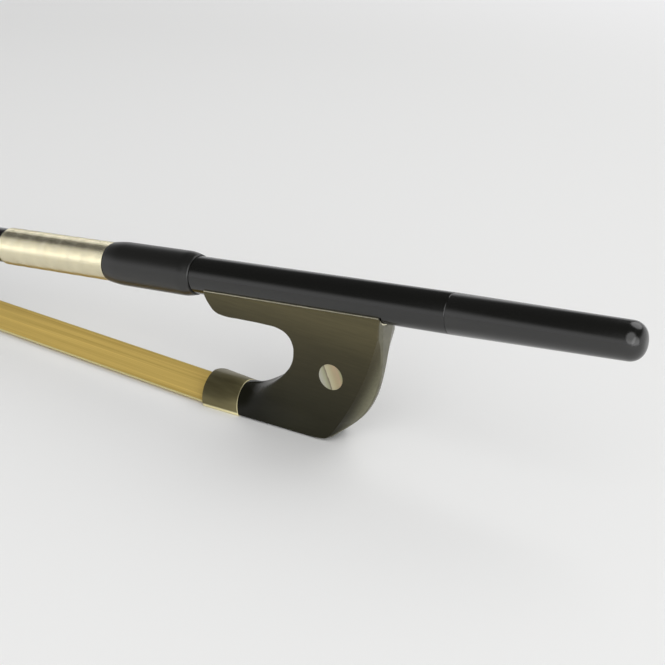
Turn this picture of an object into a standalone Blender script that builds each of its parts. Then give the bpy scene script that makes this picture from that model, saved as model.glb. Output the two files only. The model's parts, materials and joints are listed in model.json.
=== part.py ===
"""Double bass bow of the underhand (German) pattern: carbon stick, ebony frog, hair, screw and button.

Metres, +Z up. X runs along the hair towards the button, Y is the width of the hair ribbon, and the plane
Z = 0 is the flat underside of the frog's slide, on which the bow stands. The handle rises 7 degrees
towards the button, so its own pieces are placed under the empty handle_axis, whose X is the stick's axis.
"""

from math import asin, atan2, cos, hypot, pi, radians, sin, tan

import bmesh
import bpy
from mathutils import Matrix, Vector

MM = 0.001

# Clearances
SEAT = 0.3 * MM
SLIDE_FIT = 0.15 * MM
LINING_SEAT = 0.1 * MM

# Frog against the hair: the slide's plane, parallel to the hair, and the handle above it
HANDLE_TILT = radians(7.0)
EYE_FROM_FERRULE = 42.4 * MM
HANDLE_Z = 48.2 * MM

# Stick
STICK_RADIUS = 6.3 * MM
STICK_TIP_RADIUS = 3.8 * MM
STICK_END = 41.0 * MM
STICK_STRAIGHT = 150.0 * MM
STICK_SIDES = 20
STICK_STATIONS = 22
TAPER_POWER = 1.25
STICK_END_ROUND = 0.6 * MM
SHOULDER_STATIONS = 5

# Head, in the plane of the bow: forward along the stick and up from its axis
HAIR_LENGTH = 575.0 * MM
HEAD_LENGTH = 33.5 * MM
HEAD_HEIGHT = 21.0 * MM
HEAD_PLATE_WIDTH = 13.6 * MM
HEAD_RIDGE_WIDTH = 6.4 * MM
HEAD_ROOT = 9.5 * MM
HEAD_SHOULDER = 15.0 * MM
LINER_THICKNESS = 0.6 * MM
PLATE_THICKNESS = 1.1 * MM
HEAD_MORTISE_LENGTH = 11.0 * MM
HEAD_MORTISE_WIDTH = 10.4 * MM
HEAD_MORTISE_DEPTH = 5.0 * MM
HEAD_MORTISE_MARGIN = 3.5 * MM
HEAD_KNOT_LENGTH = 4.2 * MM
HEAD_PLUG_DROP = 1.5 * MM
PLATE_FLOOR = 1.9 * MM
NOSE_SHARE = 0.45

# Thumb grip and lapping, along the handle from the eye
GRIP_REAR = -52.3 * MM
GRIP_LENGTH = 36.9 * MM
GRIP_RADIUS = 7.55 * MM
GRIP_NECK_RADIUS = 7.0 * MM
GRIP_SHOULDER = 6.5 * MM
GRIP_REAR_RADIUS = 6.85 * MM
GRIP_REAR_SHOULDER = 4.8 * MM
LAPPING_LENGTH = 50.2 * MM
LAPPING_THICKNESS = 0.35 * MM
LAPPING_SEAT = 0.15 * MM

# Button and screw
BUTTON_LENGTH = 57.5 * MM
BUTTON_RADIUS = 6.3 * MM
BUTTON_END_RADIUS = 5.75 * MM
BUTTON_DOME = 4.6 * MM
BUTTON_COLLAR_EDGE = 0.35 * MM
SCREW_RADIUS = 1.75 * MM
SCREW_GRIP = 22.0 * MM
SCREW_TIP = -17.0 * MM
SCREW_BORE_RADIUS = 2.1 * MM
SCREW_COLLAR_RADIUS = 3.4 * MM
SCREW_COLLAR_LENGTH = 2.0 * MM
THREAD_PITCH = 0.75 * MM
TIGHTEN_TURNS = 6
LOOSEN_TURNS = 4

# Eyelet
EYELET_X = 3.0 * MM
EYELET_LENGTH = 7.0 * MM
EYELET_WIDTH = 5.8 * MM
EYELET_TOP = 3.4 * MM
SHANK_RADIUS = 1.7 * MM
SHANK_LENGTH = 9.0 * MM

# Frog, in the handle's frame: the blank's top lies inside the groove for the stick
FACE_HALF = 5.6 * MM
TOP_FLARE = 0.45 * MM
TOP_FLARE_FROM = -12.0 * MM
TOP_FLARE_TO = -4.0 * MM
FROG_FRONT = -46.8 * MM
BLANK_TOP = -2.0 * MM
EDGE_ROUND = 0.7 * MM
EYE_RADIUS = 4.4 * MM
EYE_DEPTH = 1.3 * MM
EYE_Z = -25.6 * MM

# Jaw: its top rises from the ferrule to the root of the mouth, and its arch turns into the flat face
JAW_INSET = 0.15 * MM
JAW_FOOT = -38.3 * MM
JAW_RISE = 0.0245 / MM
JAW_TOP_EDGE = 0.12 * MM
ARCH_END = -33.0 * MM
FACE_START = -17.0 * MM
FACE_TOP_POWER = 8.0
FACE_SIDE_POWER = 12.0
FLARE_HEIGHT = 9.0 * MM
SOLE_TAPER = 0.087
SOLE_END = 41.8 * MM

# Heel: the face ends on an arc, and a facet beyond it thins the frog towards its rear edge
HEEL_ARC_RADIUS = 105.0 * MM
HEEL_ARC_X = -82.5 * MM
HEEL_ARC_Z = 20.1 * MM
FACET_TOP = radians(14.4)
FACET_BOTTOM = radians(40.0)
FACET_WIDTH = 4.4 * MM
FACET_SKEW = 1.4
FACET_LEAST = 0.5 * MM
HEEL_TOP_HALF = 4.2 * MM
HEEL_TOP_ANGLE = radians(13.3)
HEEL_EDGE_HALF = 0.8 * MM
HEEL_THIN_FROM = radians(27.0)
HEEL_THIN_TO = radians(35.0)

# Underslide
UNDERSLIDE_THICKNESS = 0.3 * MM
UNDERSLIDE_LIP = 0.15 * MM

# Ferrule, wedge, slide, along the slide's plane from the ferrule's front edge
FERRULE_LENGTH = 13.6 * MM
FERRULE_HALF_WIDTH = 10.65 * MM
FERRULE_HEIGHT = 8.3 * MM
FERRULE_WALL = 0.55 * MM
FERRULE_FLOOR = 0.5 * MM
FERRULE_CORNER = 0.35 * MM
FERRULE_LEAN = tan(radians(21.0))
ARCH_TOP_POWER = 1.65
ARCH_SIDE_POWER = 1.95
TONGUE_BOTTOM = 3.7 * MM
TONGUE_START = 1.2 * MM
WEDGE_START = 1.5 * MM
WEDGE_LENGTH = 11.0 * MM
WEDGE_FALL = 0.6 * MM
SLIDE_LENGTH = 25.0 * MM
SLIDE_THICKNESS = 1.6 * MM
SLIDE_FRONT_HALF = 8.4 * MM
SLIDE_REAR_HALF = 6.0 * MM
PEARL_THICKNESS = 0.6 * MM
PEARL_MARGIN = 1.2 * MM
MORTISE_START = 26.2 * MM
MORTISE_LENGTH = 12.5 * MM
MORTISE_WIDTH = 8.4 * MM
MORTISE_TOP = 11.0 * MM
FROG_KNOT_LENGTH = 5.0 * MM

# Hair
HAIR_COLUMNS = 75
HAIR_ROWS = 4
HAIR_WIDTH = 19.4 * MM
HAIR_HEAD_WIDTH = 12.4 * MM
HAIR_THICKNESS = 0.6 * MM
HAIR_HEAD_THICKNESS = 1.2 * MM
HAIR_SEAT = 0.15 * MM
STRAND_SHARE = 0.62

# What follows from the sizes above, with X = 0 halfway along the whole bow
BOW_FRONT = -(HAIR_LENGTH + HEAD_LENGTH - HEAD_ROOT)
BOW_REAR = EYE_FROM_FERRULE + (STICK_END + SEAT + BUTTON_LENGTH) * cos(HANDLE_TILT)
FERRULE_FRONT = -(BOW_FRONT + BOW_REAR) / 2
HANDLE_X = FERRULE_FRONT + EYE_FROM_FERRULE
HAIR_FLOOR = FERRULE_FLOOR + HAIR_SEAT
HAIR_CHANNEL_FLOOR = SLIDE_THICKNESS + SEAT
WEDGE_BOTTOM = HAIR_FLOOR + HAIR_THICKNESS + SEAT
WEDGE_TOP = TONGUE_BOTTOM - SEAT
INNER_HALF_WIDTH = FERRULE_HALF_WIDTH - FERRULE_WALL
INNER_HEIGHT = FERRULE_HEIGHT - FERRULE_WALL
TONGUE_HALF_WIDTH = INNER_HALF_WIDTH - SEAT
TONGUE_HEIGHT = INNER_HEIGHT - SEAT
UNDERSLIDE_RADIUS = STICK_RADIUS + SLIDE_FIT + UNDERSLIDE_THICKNESS
GROOVE_RADIUS = UNDERSLIDE_RADIUS + LINING_SEAT
FROG_BODY_START = FERRULE_LENGTH + SEAT
JAW_HEIGHT = FERRULE_HEIGHT - JAW_INSET
HEAD_X = FERRULE_FRONT - HAIR_LENGTH
HEEL_ARC_START = asin((HEEL_ARC_Z - BLANK_TOP) / HEEL_ARC_RADIUS)
FROG_HEEL = HEEL_ARC_X + HEEL_ARC_RADIUS * cos(HEEL_ARC_START)


def world_of_handle(x, z):
    """Where a point of the handle's plane lies in the bow's own frame."""
    return (
        HANDLE_X + x * cos(HANDLE_TILT) - z * sin(HANDLE_TILT),
        HANDLE_Z + x * sin(HANDLE_TILT) + z * cos(HANDLE_TILT),
    )


def handle_of_world(x, z):
    """Where a point of the bow's own frame lies in the handle's plane."""
    dx, dz = x - HANDLE_X, z - HANDLE_Z
    return (
        dx * cos(HANDLE_TILT) + dz * sin(HANDLE_TILT),
        -dx * sin(HANDLE_TILT) + dz * cos(HANDLE_TILT),
    )


def smooth_step(value):
    value = min(1.0, max(0.0, value))
    return value * value * (3 - 2 * value)


# Scene, collections and materials

for old in list(bpy.data.objects):
    bpy.data.objects.remove(old, do_unlink=True)


def new_collection(name, hidden=False):
    collection = bpy.data.collections.new(name)
    bpy.context.scene.collection.children.link(collection)
    collection.hide_render = hidden
    return collection


PARTS = new_collection("double_bass_bow")
CUTTERS = new_collection("cutters", hidden=True)


def new_material(name, color, roughness, metallic=0.0):
    material = bpy.data.materials.new(name)
    material.use_nodes = True
    shader = material.node_tree.nodes["Principled BSDF"]
    shader.inputs["Base Color"].default_value = (*color, 1.0)
    shader.inputs["Roughness"].default_value = roughness
    shader.inputs["Metallic"].default_value = metallic
    return material


CARBON = new_material("carbon", (0.012, 0.012, 0.011), 0.38)
EBONY = new_material("ebony", (0.03, 0.026, 0.02), 0.34)
BUTTON_BLACK = new_material("button_black", (0.014, 0.013, 0.012), 0.34)
GRIP_LEATHER = new_material("grip_leather", (0.012, 0.012, 0.011), 0.5)
SILVER = new_material("silver", (0.72, 0.7, 0.62), 0.32, 1.0)
NICKEL = new_material("nickel", (0.56, 0.53, 0.44), 0.2, 1.0)
BRASS = new_material("brass", (0.72, 0.52, 0.22), 0.3, 1.0)
STEEL = new_material("steel", (0.55, 0.55, 0.56), 0.28, 1.0)
PEARL = new_material("pearl", (0.72, 0.68, 0.58), 0.22)
HORSEHAIR = new_material("horsehair", (0.62, 0.5, 0.24), 0.45)
MAPLE = new_material("maple", (0.66, 0.47, 0.27), 0.6)
IVORY_WHITE = new_material("ivory_white", (0.82, 0.78, 0.68), 0.35)
LINER_BLACK = new_material("liner_black", (0.02, 0.018, 0.016), 0.45)
KNOT_THREAD = new_material("knot_thread", (0.42, 0.33, 0.16), 0.7)


def empty(name, location, tilt=0.0):
    frame = bpy.data.objects.new(name, None)
    frame.location = location
    frame.rotation_euler = (0, tilt, 0)
    PARTS.objects.link(frame)
    return frame


HANDLE = empty("handle_axis", (HANDLE_X, 0, HANDLE_Z), -HANDLE_TILT)
SCREW_AXIS = empty("screw_axis", (HANDLE_X, 0, HANDLE_Z), -HANDLE_TILT)
FROG_AXIS = empty("frog_axis", (HANDLE_X, 0, HANDLE_Z), -HANDLE_TILT)


# Modelling helpers


def add(name, data, material=None, parent=None, cutter=False):
    obj = bpy.data.objects.new(name, data)
    (CUTTERS if cutter else PARTS).objects.link(obj)
    if material:
        data.materials.append(material)
    if parent:
        obj.parent = parent
    if cutter:
        obj.hide_render = True
        obj.display_type = "WIRE"
    return obj


def mesh_of(build):
    """A new mesh that build(bm) fills."""
    bm = bmesh.new()
    build(bm)
    mesh = bpy.data.meshes.new("shape")
    bm.to_mesh(mesh)
    bm.free()
    return mesh


def box(name, low, high, material=None, parent=None, cutter=False):
    """A box between two corners, in its parent's frame."""
    size = [b - a for a, b in zip(low, high)]
    middle = [(a + b) / 2 for a, b in zip(low, high)]

    def build(bm):
        bmesh.ops.create_cube(bm, size=1.0)
        bmesh.ops.scale(bm, vec=size, verts=bm.verts)
        bmesh.ops.translate(bm, vec=middle, verts=bm.verts)

    return add(name, mesh_of(build), material, parent, cutter)


def rod(name, start, end, radius, sides, material=None, parent=None, cutter=False):
    """A plain cylinder from one point to another, in its parent's frame."""
    axis = Vector(end) - Vector(start)
    turn = axis.to_track_quat("Z", "Y").to_matrix().to_4x4()
    place = Matrix.Translation((Vector(start) + Vector(end)) / 2) @ turn

    def build(bm):
        bmesh.ops.create_cone(
            bm, cap_ends=True, segments=sides, radius1=radius, radius2=radius, depth=axis.length
        )
        bmesh.ops.transform(bm, matrix=place, verts=bm.verts)

    return add(name, mesh_of(build), material, parent, cutter)


def turned(name, profile, sides, material=None, parent=None):
    """A turned piece about its parent's X. The profile is (distance along X, radius), from the head end."""
    mesh = bpy.data.meshes.new(name)
    points = [(radius, 0, along) for along, radius in reversed(profile)]
    mesh.from_pydata(points, [(i, i + 1) for i in range(len(points) - 1)], [])
    obj = add(name, mesh, material, parent)
    obj.rotation_euler = (0, pi / 2, 0)
    screw = obj.modifiers.new("turn", "SCREW")
    screw.steps = screw.render_steps = sides
    screw.use_merge_vertices = True
    screw.merge_threshold = 0.00001
    screw.use_smooth_shade = True
    return obj


def outline_mesh(points, half_depth, resolution=4, bevel=0.0):
    """A flat outline in the XZ plane, filled, with its depth along Y.

    Each point is (x, z, smooth); smooth points join their neighbours by a curve.
    """
    curve = bpy.data.curves.new("outline", "CURVE")
    curve.dimensions = "2D"
    curve.fill_mode = "BOTH"
    curve.extrude = half_depth
    curve.resolution_u = resolution
    spline = curve.splines.new("BEZIER")
    spline.bezier_points.add(len(points) - 1)
    spline.use_cyclic_u = True
    for point, (x, z, smooth) in zip(spline.bezier_points, points):
        point.co = (x, z, 0)
        point.handle_left_type = point.handle_right_type = "AUTO" if smooth else "VECTOR"
    obj = bpy.data.objects.new("outline", curve)
    CUTTERS.objects.link(obj)
    graph = bpy.context.evaluated_depsgraph_get()
    mesh = bpy.data.meshes.new_from_object(obj.evaluated_get(graph))
    bpy.data.objects.remove(obj, do_unlink=True)
    bm = bmesh.new()
    bm.from_mesh(mesh)
    bmesh.ops.remove_doubles(bm, verts=bm.verts, dist=0.000002)
    bmesh.ops.dissolve_limit(bm, angle_limit=radians(0.5), verts=bm.verts, edges=bm.edges)
    if bevel:
        rim = [e for e in bm.edges if e.is_manifold and e.calc_face_angle() > radians(60)]
        rim = [e for e in rim if abs(abs(e.verts[0].co.z) - half_depth) < 1e-7
               and abs(e.verts[0].co.z - e.verts[1].co.z) < 1e-7]
        bmesh.ops.bevel(bm, geom=rim, offset=bevel, segments=2, profile=0.5, affect="EDGES")
    bmesh.ops.transform(bm, matrix=Matrix.Rotation(pi / 2, 4, "X"), verts=bm.verts)
    bmesh.ops.recalc_face_normals(bm, faces=bm.faces)
    bm.to_mesh(mesh)
    bm.free()
    return mesh


def cut(obj, cutter, operation="DIFFERENCE"):
    boolean = obj.modifiers.new(cutter.name, "BOOLEAN")
    boolean.operation = operation
    boolean.object = cutter
    return boolean


def bevel_edges(obj, width, segments=2, angle=40):
    modifier = obj.modifiers.new("edges", "BEVEL")
    modifier.width = width
    modifier.segments = segments
    modifier.limit_method = "ANGLE"
    modifier.angle_limit = radians(angle)
    return modifier


# Stick: the camber runs from the handle's line to the head, whose axis rises again towards the tip

CAMBER_X, CAMBER_Z = world_of_handle(-STICK_STRAIGHT, 0)
AXIS_AT_HEAD = PLATE_FLOOR + HEAD_HEIGHT
CAMBER_LENGTH = CAMBER_X - (HEAD_X + HEAD_ROOT)
CAMBER_BEND = (AXIS_AT_HEAD - CAMBER_Z + tan(HANDLE_TILT) * CAMBER_LENGTH) / CAMBER_LENGTH**2


def stick_axis(share):
    """A point of the stick's axis, from the camber's start (0) to the root of the head (1)."""
    along = share * CAMBER_LENGTH
    return CAMBER_X - along, CAMBER_Z - tan(HANDLE_TILT) * along + CAMBER_BEND * along * along


def build_stick():
    curve = bpy.data.curves.new("stick", "CURVE")
    curve.dimensions = "3D"
    curve.bevel_depth = STICK_RADIUS
    curve.bevel_resolution = (STICK_SIDES - 4) // 2
    curve.use_fill_caps = True
    end_share = 1 - STICK_END_ROUND / STICK_RADIUS
    stations = [
        (*world_of_handle(STICK_END, 0), end_share),
        (*world_of_handle(STICK_END - 0.4 * STICK_END_ROUND, 0), (1 + end_share) / 2 + 0.2 * (1 - end_share)),
        (*world_of_handle(STICK_END - 1.4 * STICK_END_ROUND, 0), 1.0),
        (*world_of_handle(FROG_HEEL, 0), 1.0),
    ]
    tip_share = STICK_TIP_RADIUS / STICK_RADIUS
    for i in range(STICK_STATIONS + 1):
        share = i / STICK_STATIONS
        stations.append((*stick_axis(share), 1 - (1 - tip_share) * share**TAPER_POWER))
    for step in range(1, SHOULDER_STATIONS + 1):
        inward = step / SHOULDER_STATIONS
        share = 1 + inward * HEAD_SHOULDER / CAMBER_LENGTH
        stations.append((*stick_axis(share), tip_share * (1 - inward**2) ** 0.5 + 0.1 * inward))
    spline = curve.splines.new("POLY")
    spline.points.add(len(stations) - 1)
    for point, (x, z, radius) in zip(spline.points, stations):
        point.co = (x, 0, z, 1)
        point.radius = radius
    guide = bpy.data.objects.new("stick_guide", curve)
    CUTTERS.objects.link(guide)
    graph = bpy.context.evaluated_depsgraph_get()
    mesh = bpy.data.meshes.new_from_object(guide.evaluated_get(graph))
    bpy.data.objects.remove(guide, do_unlink=True)
    bm = bmesh.new()
    bm.from_mesh(mesh)
    bmesh.ops.remove_doubles(bm, verts=bm.verts, dist=0.000002)
    bmesh.ops.recalc_face_normals(bm, faces=bm.faces)
    bm.to_mesh(mesh)
    bm.free()
    return add("stick", mesh, CARBON)


# Head outline: forward of the root, and up from the stick's axis there
HEAD_OUTLINE = (
    (-0.12, 0.130, False),
    (0.10, 0.195, True),
    (0.50, 0.185, True),
    (0.72, 0.02, True),
    (0.80, -0.30, True),
    (0.88, -0.66, True),
    (1.00, -1.0, False),
    (1.03, -1.12, False),
    (0.285, -1.12, False),
    (0.27, -0.66, True),
    (0.20, -0.36, True),
    (0.02, -0.215, True),
    (-0.12, -0.130, False),
)


def cut_flat(bm, place, normal, clear=False):
    """Cuts new edges along a plane, and with clear takes away what lies behind it and closes the cut."""
    bmesh.ops.bisect_plane(
        bm,
        geom=bm.verts[:] + bm.edges[:] + bm.faces[:],
        plane_co=place,
        plane_no=normal,
        clear_inner=clear,
    )
    if clear:
        bmesh.ops.holes_fill(bm, edges=[edge for edge in bm.edges if edge.is_boundary], sides=0)


def build_head():
    """The moulded head: its thickness grows from the ridge to the plate and is drawn in at the nose."""
    root_x, root_z = stick_axis(1.0)
    plate_top = PLATE_FLOOR + PLATE_THICKNESS + LINER_THICKNESS + 2 * SEAT
    drop = root_z - plate_top
    points = [
        (root_x - forward * HEAD_LENGTH, root_z + up * (drop if up < -0.2 else HEAD_HEIGHT), smooth)
        for forward, up, smooth in HEAD_OUTLINE
    ]
    mesh = outline_mesh(points, HEAD_PLATE_WIDTH / 2, resolution=4, bevel=1.4 * MM)
    bm = bmesh.new()
    bm.from_mesh(mesh)
    cut_flat(bm, (0, 0, plate_top), (0, 0, 1), clear=True)
    for step in range(1, 7):
        cut_flat(bm, (0, 0, plate_top + drop * step / 7), (0, 0, 1))
    nose = root_x - HEAD_LENGTH
    nose_length = NOSE_SHARE * (HEAD_LENGTH - HEAD_ROOT)
    for step in range(1, 5):
        cut_flat(bm, (nose + nose_length * step / 4, 0, 0), (1, 0, 0))
    for vertex in bm.verts:
        share = smooth_step((vertex.co.z - plate_top) / (0.8 * drop))
        drawn_in = max(0.05, sin(pi / 2 * min(1.0, (vertex.co.x - nose) / nose_length)))
        vertex.co.y *= drawn_in * (1 + (HEAD_RIDGE_WIDTH / HEAD_PLATE_WIDTH - 1) * share)
    bm.to_mesh(mesh)
    bm.free()
    return add("head_block", mesh, None, None, cutter=True)


stick = build_stick()
cut(stick, build_head(), "UNION")

screw_bore = rod(
    "screw_bore",
    (SCREW_TIP - 2 * MM, 0, 0),
    (STICK_END + 2 * MM, 0, 0),
    SCREW_BORE_RADIUS,
    16,
    parent=HANDLE,
    cutter=True,
)
collar_recess = rod(
    "collar_recess",
    (STICK_END - SCREW_COLLAR_LENGTH - SEAT, 0, 0),
    (STICK_END + 2 * MM, 0, 0),
    SCREW_COLLAR_RADIUS + SEAT,
    16,
    parent=HANDLE,
    cutter=True,
)
TRAVEL_BACK = TIGHTEN_TURNS * THREAD_PITCH
TRAVEL_FORWARD = LOOSEN_TURNS * THREAD_PITCH
eyelet_slot = box(
    "eyelet_slot",
    (EYELET_X - EYELET_LENGTH / 2 - TRAVEL_FORWARD - 2 * SEAT, -EYELET_WIDTH / 2 - SEAT, -2 * STICK_RADIUS),
    (EYELET_X + EYELET_LENGTH / 2 + TRAVEL_BACK + 2 * SEAT, EYELET_WIDTH / 2 + SEAT, EYELET_TOP + SEAT),
    parent=HANDLE,
    cutter=True,
)
cut(stick, screw_bore)
cut(stick, collar_recess)
cut(stick, eyelet_slot)


# Head plate, liner, mortise, plug and knot

PLATE_BACK = HEAD_X
PLATE_FRONT = HEAD_X + HEAD_ROOT - HEAD_LENGTH
MORTISE_BACK = PLATE_BACK - HEAD_MORTISE_MARGIN
HEAD_PLATE_TOP = PLATE_FLOOR + PLATE_THICKNESS
LINER_FLOOR = HEAD_PLATE_TOP + SEAT
LINER_TOP = LINER_FLOOR + LINER_THICKNESS


def head_sheet(name, low, high, material):
    """A sheet under the head, its outline drawn in to a point at the beak."""
    half = HEAD_PLATE_WIDTH / 2 - 0.1 * MM
    length = PLATE_BACK - PLATE_FRONT
    shape = [
        (PLATE_BACK, -half, False),
        (PLATE_BACK, half, False),
        (PLATE_FRONT + NOSE_SHARE * length, half, True),
        (PLATE_FRONT + 0.12 * length, 0.45 * half, True),
        (PLATE_FRONT, 0.0, True),
        (PLATE_FRONT + 0.12 * length, -0.45 * half, True),
        (PLATE_FRONT + NOSE_SHARE * length, -half, True),
    ]
    mesh = outline_mesh(shape, (high - low) / 2, resolution=4)
    mesh.transform(Matrix.Rotation(-pi / 2, 4, "X"))
    mesh.transform(Matrix.Translation((0, 0, (low + high) / 2)))
    sheet = add(name, mesh, material)
    cut(sheet, head_mortise)
    return sheet


head_mortise = box(
    "head_mortise",
    (MORTISE_BACK - HEAD_MORTISE_LENGTH, -HEAD_MORTISE_WIDTH / 2, 0),
    (MORTISE_BACK, HEAD_MORTISE_WIDTH / 2, LINER_TOP + HEAD_MORTISE_DEPTH),
    cutter=True,
)
cut(stick, head_mortise)
head_sheet("head_plate", PLATE_FLOOR, HEAD_PLATE_TOP, IVORY_WHITE)
head_sheet("head_liner", LINER_FLOOR, LINER_TOP, LINER_BLACK)
head_knot = box(
    "head_knot",
    (MORTISE_BACK - SEAT - HEAD_KNOT_LENGTH, -HEAD_MORTISE_WIDTH / 2 + SEAT, PLATE_FLOOR),
    (MORTISE_BACK - SEAT, HEAD_MORTISE_WIDTH / 2 - SEAT, LINER_TOP + HEAD_MORTISE_DEPTH - SEAT),
    KNOT_THREAD,
)
bevel_edges(head_knot, 0.8 * MM)
head_plug = box(
    "head_plug",
    (MORTISE_BACK - HEAD_MORTISE_LENGTH + SEAT, -HEAD_MORTISE_WIDTH / 2 + SEAT, PLATE_FLOOR + 0.2 * MM),
    (
        MORTISE_BACK - 2 * SEAT - HEAD_KNOT_LENGTH,
        HEAD_MORTISE_WIDTH / 2 - SEAT,
        LINER_TOP + HEAD_MORTISE_DEPTH - HEAD_PLUG_DROP,
    ),
    MAPLE,
)
bevel_edges(head_plug, 0.4 * MM)


# Thumb grip and lapping, turned about the handle's axis; the lapping follows the stick's first taper

GRIP_BORE = STICK_RADIUS + SEAT
GRIP_HEAD = GRIP_REAR - GRIP_LENGTH
GRIP_LIP = 0.3 * MM
SHOULDER_STEPS = 5


def shoulder(start, length, start_radius, end_radius):
    """A quarter wave from one radius up to another, as points of a turned profile."""
    turn = pi / 2 / SHOULDER_STEPS
    rise = end_radius - start_radius
    return [
        (start + length * step / SHOULDER_STEPS, start_radius + rise * sin(turn * step))
        for step in range(SHOULDER_STEPS + 1)
    ]


turned(
    "thumb_grip",
    [
        (GRIP_HEAD, GRIP_BORE),
        (GRIP_HEAD, GRIP_NECK_RADIUS - GRIP_LIP),
        *shoulder(GRIP_HEAD + GRIP_LIP, GRIP_SHOULDER, GRIP_NECK_RADIUS, GRIP_RADIUS),
        *reversed(shoulder(GRIP_REAR, -GRIP_REAR_SHOULDER, GRIP_REAR_RADIUS, GRIP_RADIUS)),
        (GRIP_REAR, GRIP_BORE),
        (GRIP_HEAD, GRIP_BORE),
    ],
    24,
    GRIP_LEATHER,
    HANDLE,
)
LAPPING_BORE = STICK_RADIUS + LAPPING_SEAT
turned(
    "lapping",
    [
        (GRIP_HEAD - SEAT - LAPPING_LENGTH, LAPPING_BORE),
        (GRIP_HEAD - SEAT - LAPPING_LENGTH, LAPPING_BORE + LAPPING_THICKNESS),
        (GRIP_HEAD - SEAT, LAPPING_BORE + LAPPING_THICKNESS),
        (GRIP_HEAD - SEAT, LAPPING_BORE),
        (GRIP_HEAD - SEAT - LAPPING_LENGTH, LAPPING_BORE),
    ],
    24,
    SILVER,
    HANDLE,
)


# Screw and button, turned about the screw's axis

SHAFT_END = STICK_END + SEAT + SCREW_GRIP
turned(
    "screw",
    [
        (SCREW_TIP, 0),
        (SCREW_TIP, SCREW_RADIUS - 0.5 * MM),
        (SCREW_TIP + 0.7 * MM, SCREW_RADIUS),
        (STICK_END - SCREW_COLLAR_LENGTH, SCREW_RADIUS),
        (STICK_END - SCREW_COLLAR_LENGTH, SCREW_COLLAR_RADIUS),
        (STICK_END, SCREW_COLLAR_RADIUS),
        (STICK_END, SCREW_RADIUS),
        (SHAFT_END - 0.5 * MM, SCREW_RADIUS),
        (SHAFT_END, SCREW_RADIUS - 0.5 * MM),
        (SHAFT_END, 0),
    ],
    16,
    STEEL,
    SCREW_AXIS,
)
BUTTON_START = STICK_END + SEAT
BUTTON_END = BUTTON_START + BUTTON_LENGTH
DOME_START = BUTTON_END - BUTTON_DOME
turned(
    "button",
    [
        (SHAFT_END + SEAT, 0),
        (SHAFT_END + SEAT, SCREW_RADIUS + SEAT),
        (BUTTON_START, SCREW_RADIUS + SEAT),
        (BUTTON_START, BUTTON_RADIUS - BUTTON_COLLAR_EDGE),
        (BUTTON_START + BUTTON_COLLAR_EDGE, BUTTON_RADIUS),
        *[
            (
                DOME_START + BUTTON_DOME * sin(pi / 2 * step / 6),
                BUTTON_END_RADIUS * cos(pi / 2 * step / 6) ** 0.75 if step < 6 else 0,
            )
            for step in range(0, 7)
        ],
    ],
    28,
    BUTTON_BLACK,
    SCREW_AXIS,
)


# Frog: the side outline, cut into cells, whose thickness is then worked out at each point

def on_slide(along, up=0.0):
    """A point above the slide's plane, in the handle's frame; along counts from the ferrule's front."""
    return handle_of_world(FERRULE_FRONT + along, up)


def arch_share(up, height, side_power=ARCH_SIDE_POWER, top_power=ARCH_TOP_POWER):
    """How much of its half-width an arch keeps at a height."""
    return (1 - min(1.0, up / height) ** side_power) ** (1 / top_power)


def heel_point(angle, radius):
    """A point about the centre of the heel's arc, the angle counted down from the handle's axis."""
    return HEEL_ARC_X + radius * cos(angle), HEEL_ARC_Z - radius * sin(angle)


def heel_edge(angle):
    """The frog's rear edge, as its distance from the centre of the heel's arc."""
    share = min(1.0, max(0.0, (angle - FACET_TOP) / (FACET_BOTTOM - FACET_TOP)))
    return HEEL_ARC_RADIUS + FACET_WIDTH * sin(pi * share**FACET_SKEW)


def heel_edge_half(angle):
    """Half the frog's thickness at its rear edge."""
    above = max(0.0, HEEL_THIN_FROM - angle) / (HEEL_THIN_FROM - HEEL_TOP_ANGLE)
    below = smooth_step((angle - HEEL_THIN_TO) / (FACET_BOTTOM - HEEL_THIN_TO))
    return (
        HEEL_EDGE_HALF
        + (HEEL_TOP_HALF - HEEL_EDGE_HALF) * above**1.8
        + (FACE_HALF - HEEL_EDGE_HALF) * below
    )


# The frog's outline from the tip of the beak, along the mouth, to the crest of the jaw
MOUTH = (
    (-46.4, -5.3),
    (-45.35, -7.4),
    (-43.2, -10.0),
    (-39.8, -11.0),
    (-33.7, -11.2),
    (-24.0, -11.5),
    (-18.2, -12.2),
    (-15.1, -13.9),
    (-13.5, -16.9),
    (-13.4, -19.8),
    (-14.4, -23.5),
    (-17.1, -27.2),
    (-20.6, -30.3),
    (-24.9, -32.9),
    (-29.4, -34.6),
    (-34.0, -35.35),
)
JAW_OVERHANG = 3.2 * MM
MOUTH_MIDDLE = -20.0 * MM


def frog_outline():
    overhang = FROG_BODY_START - JAW_OVERHANG
    heel = [FACET_BOTTOM - (FACET_BOTTOM - FACET_TOP) * step / 9 for step in range(10)]
    points = [(FROG_FRONT, BLANK_TOP, False), (FROG_FRONT, -4.2 * MM, True)]
    points += [(x * MM, z * MM, True) for x, z in MOUTH]
    points += [(*on_slide(overhang, JAW_HEIGHT), False), (*on_slide(overhang), False)]
    points += [(*on_slide(SOLE_END), False)]
    points += [(*heel_point(angle, heel_edge(angle)), True) for angle in heel]
    points += [(*heel_point(HEEL_ARC_START, HEEL_ARC_RADIUS), False)]
    return points


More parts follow.
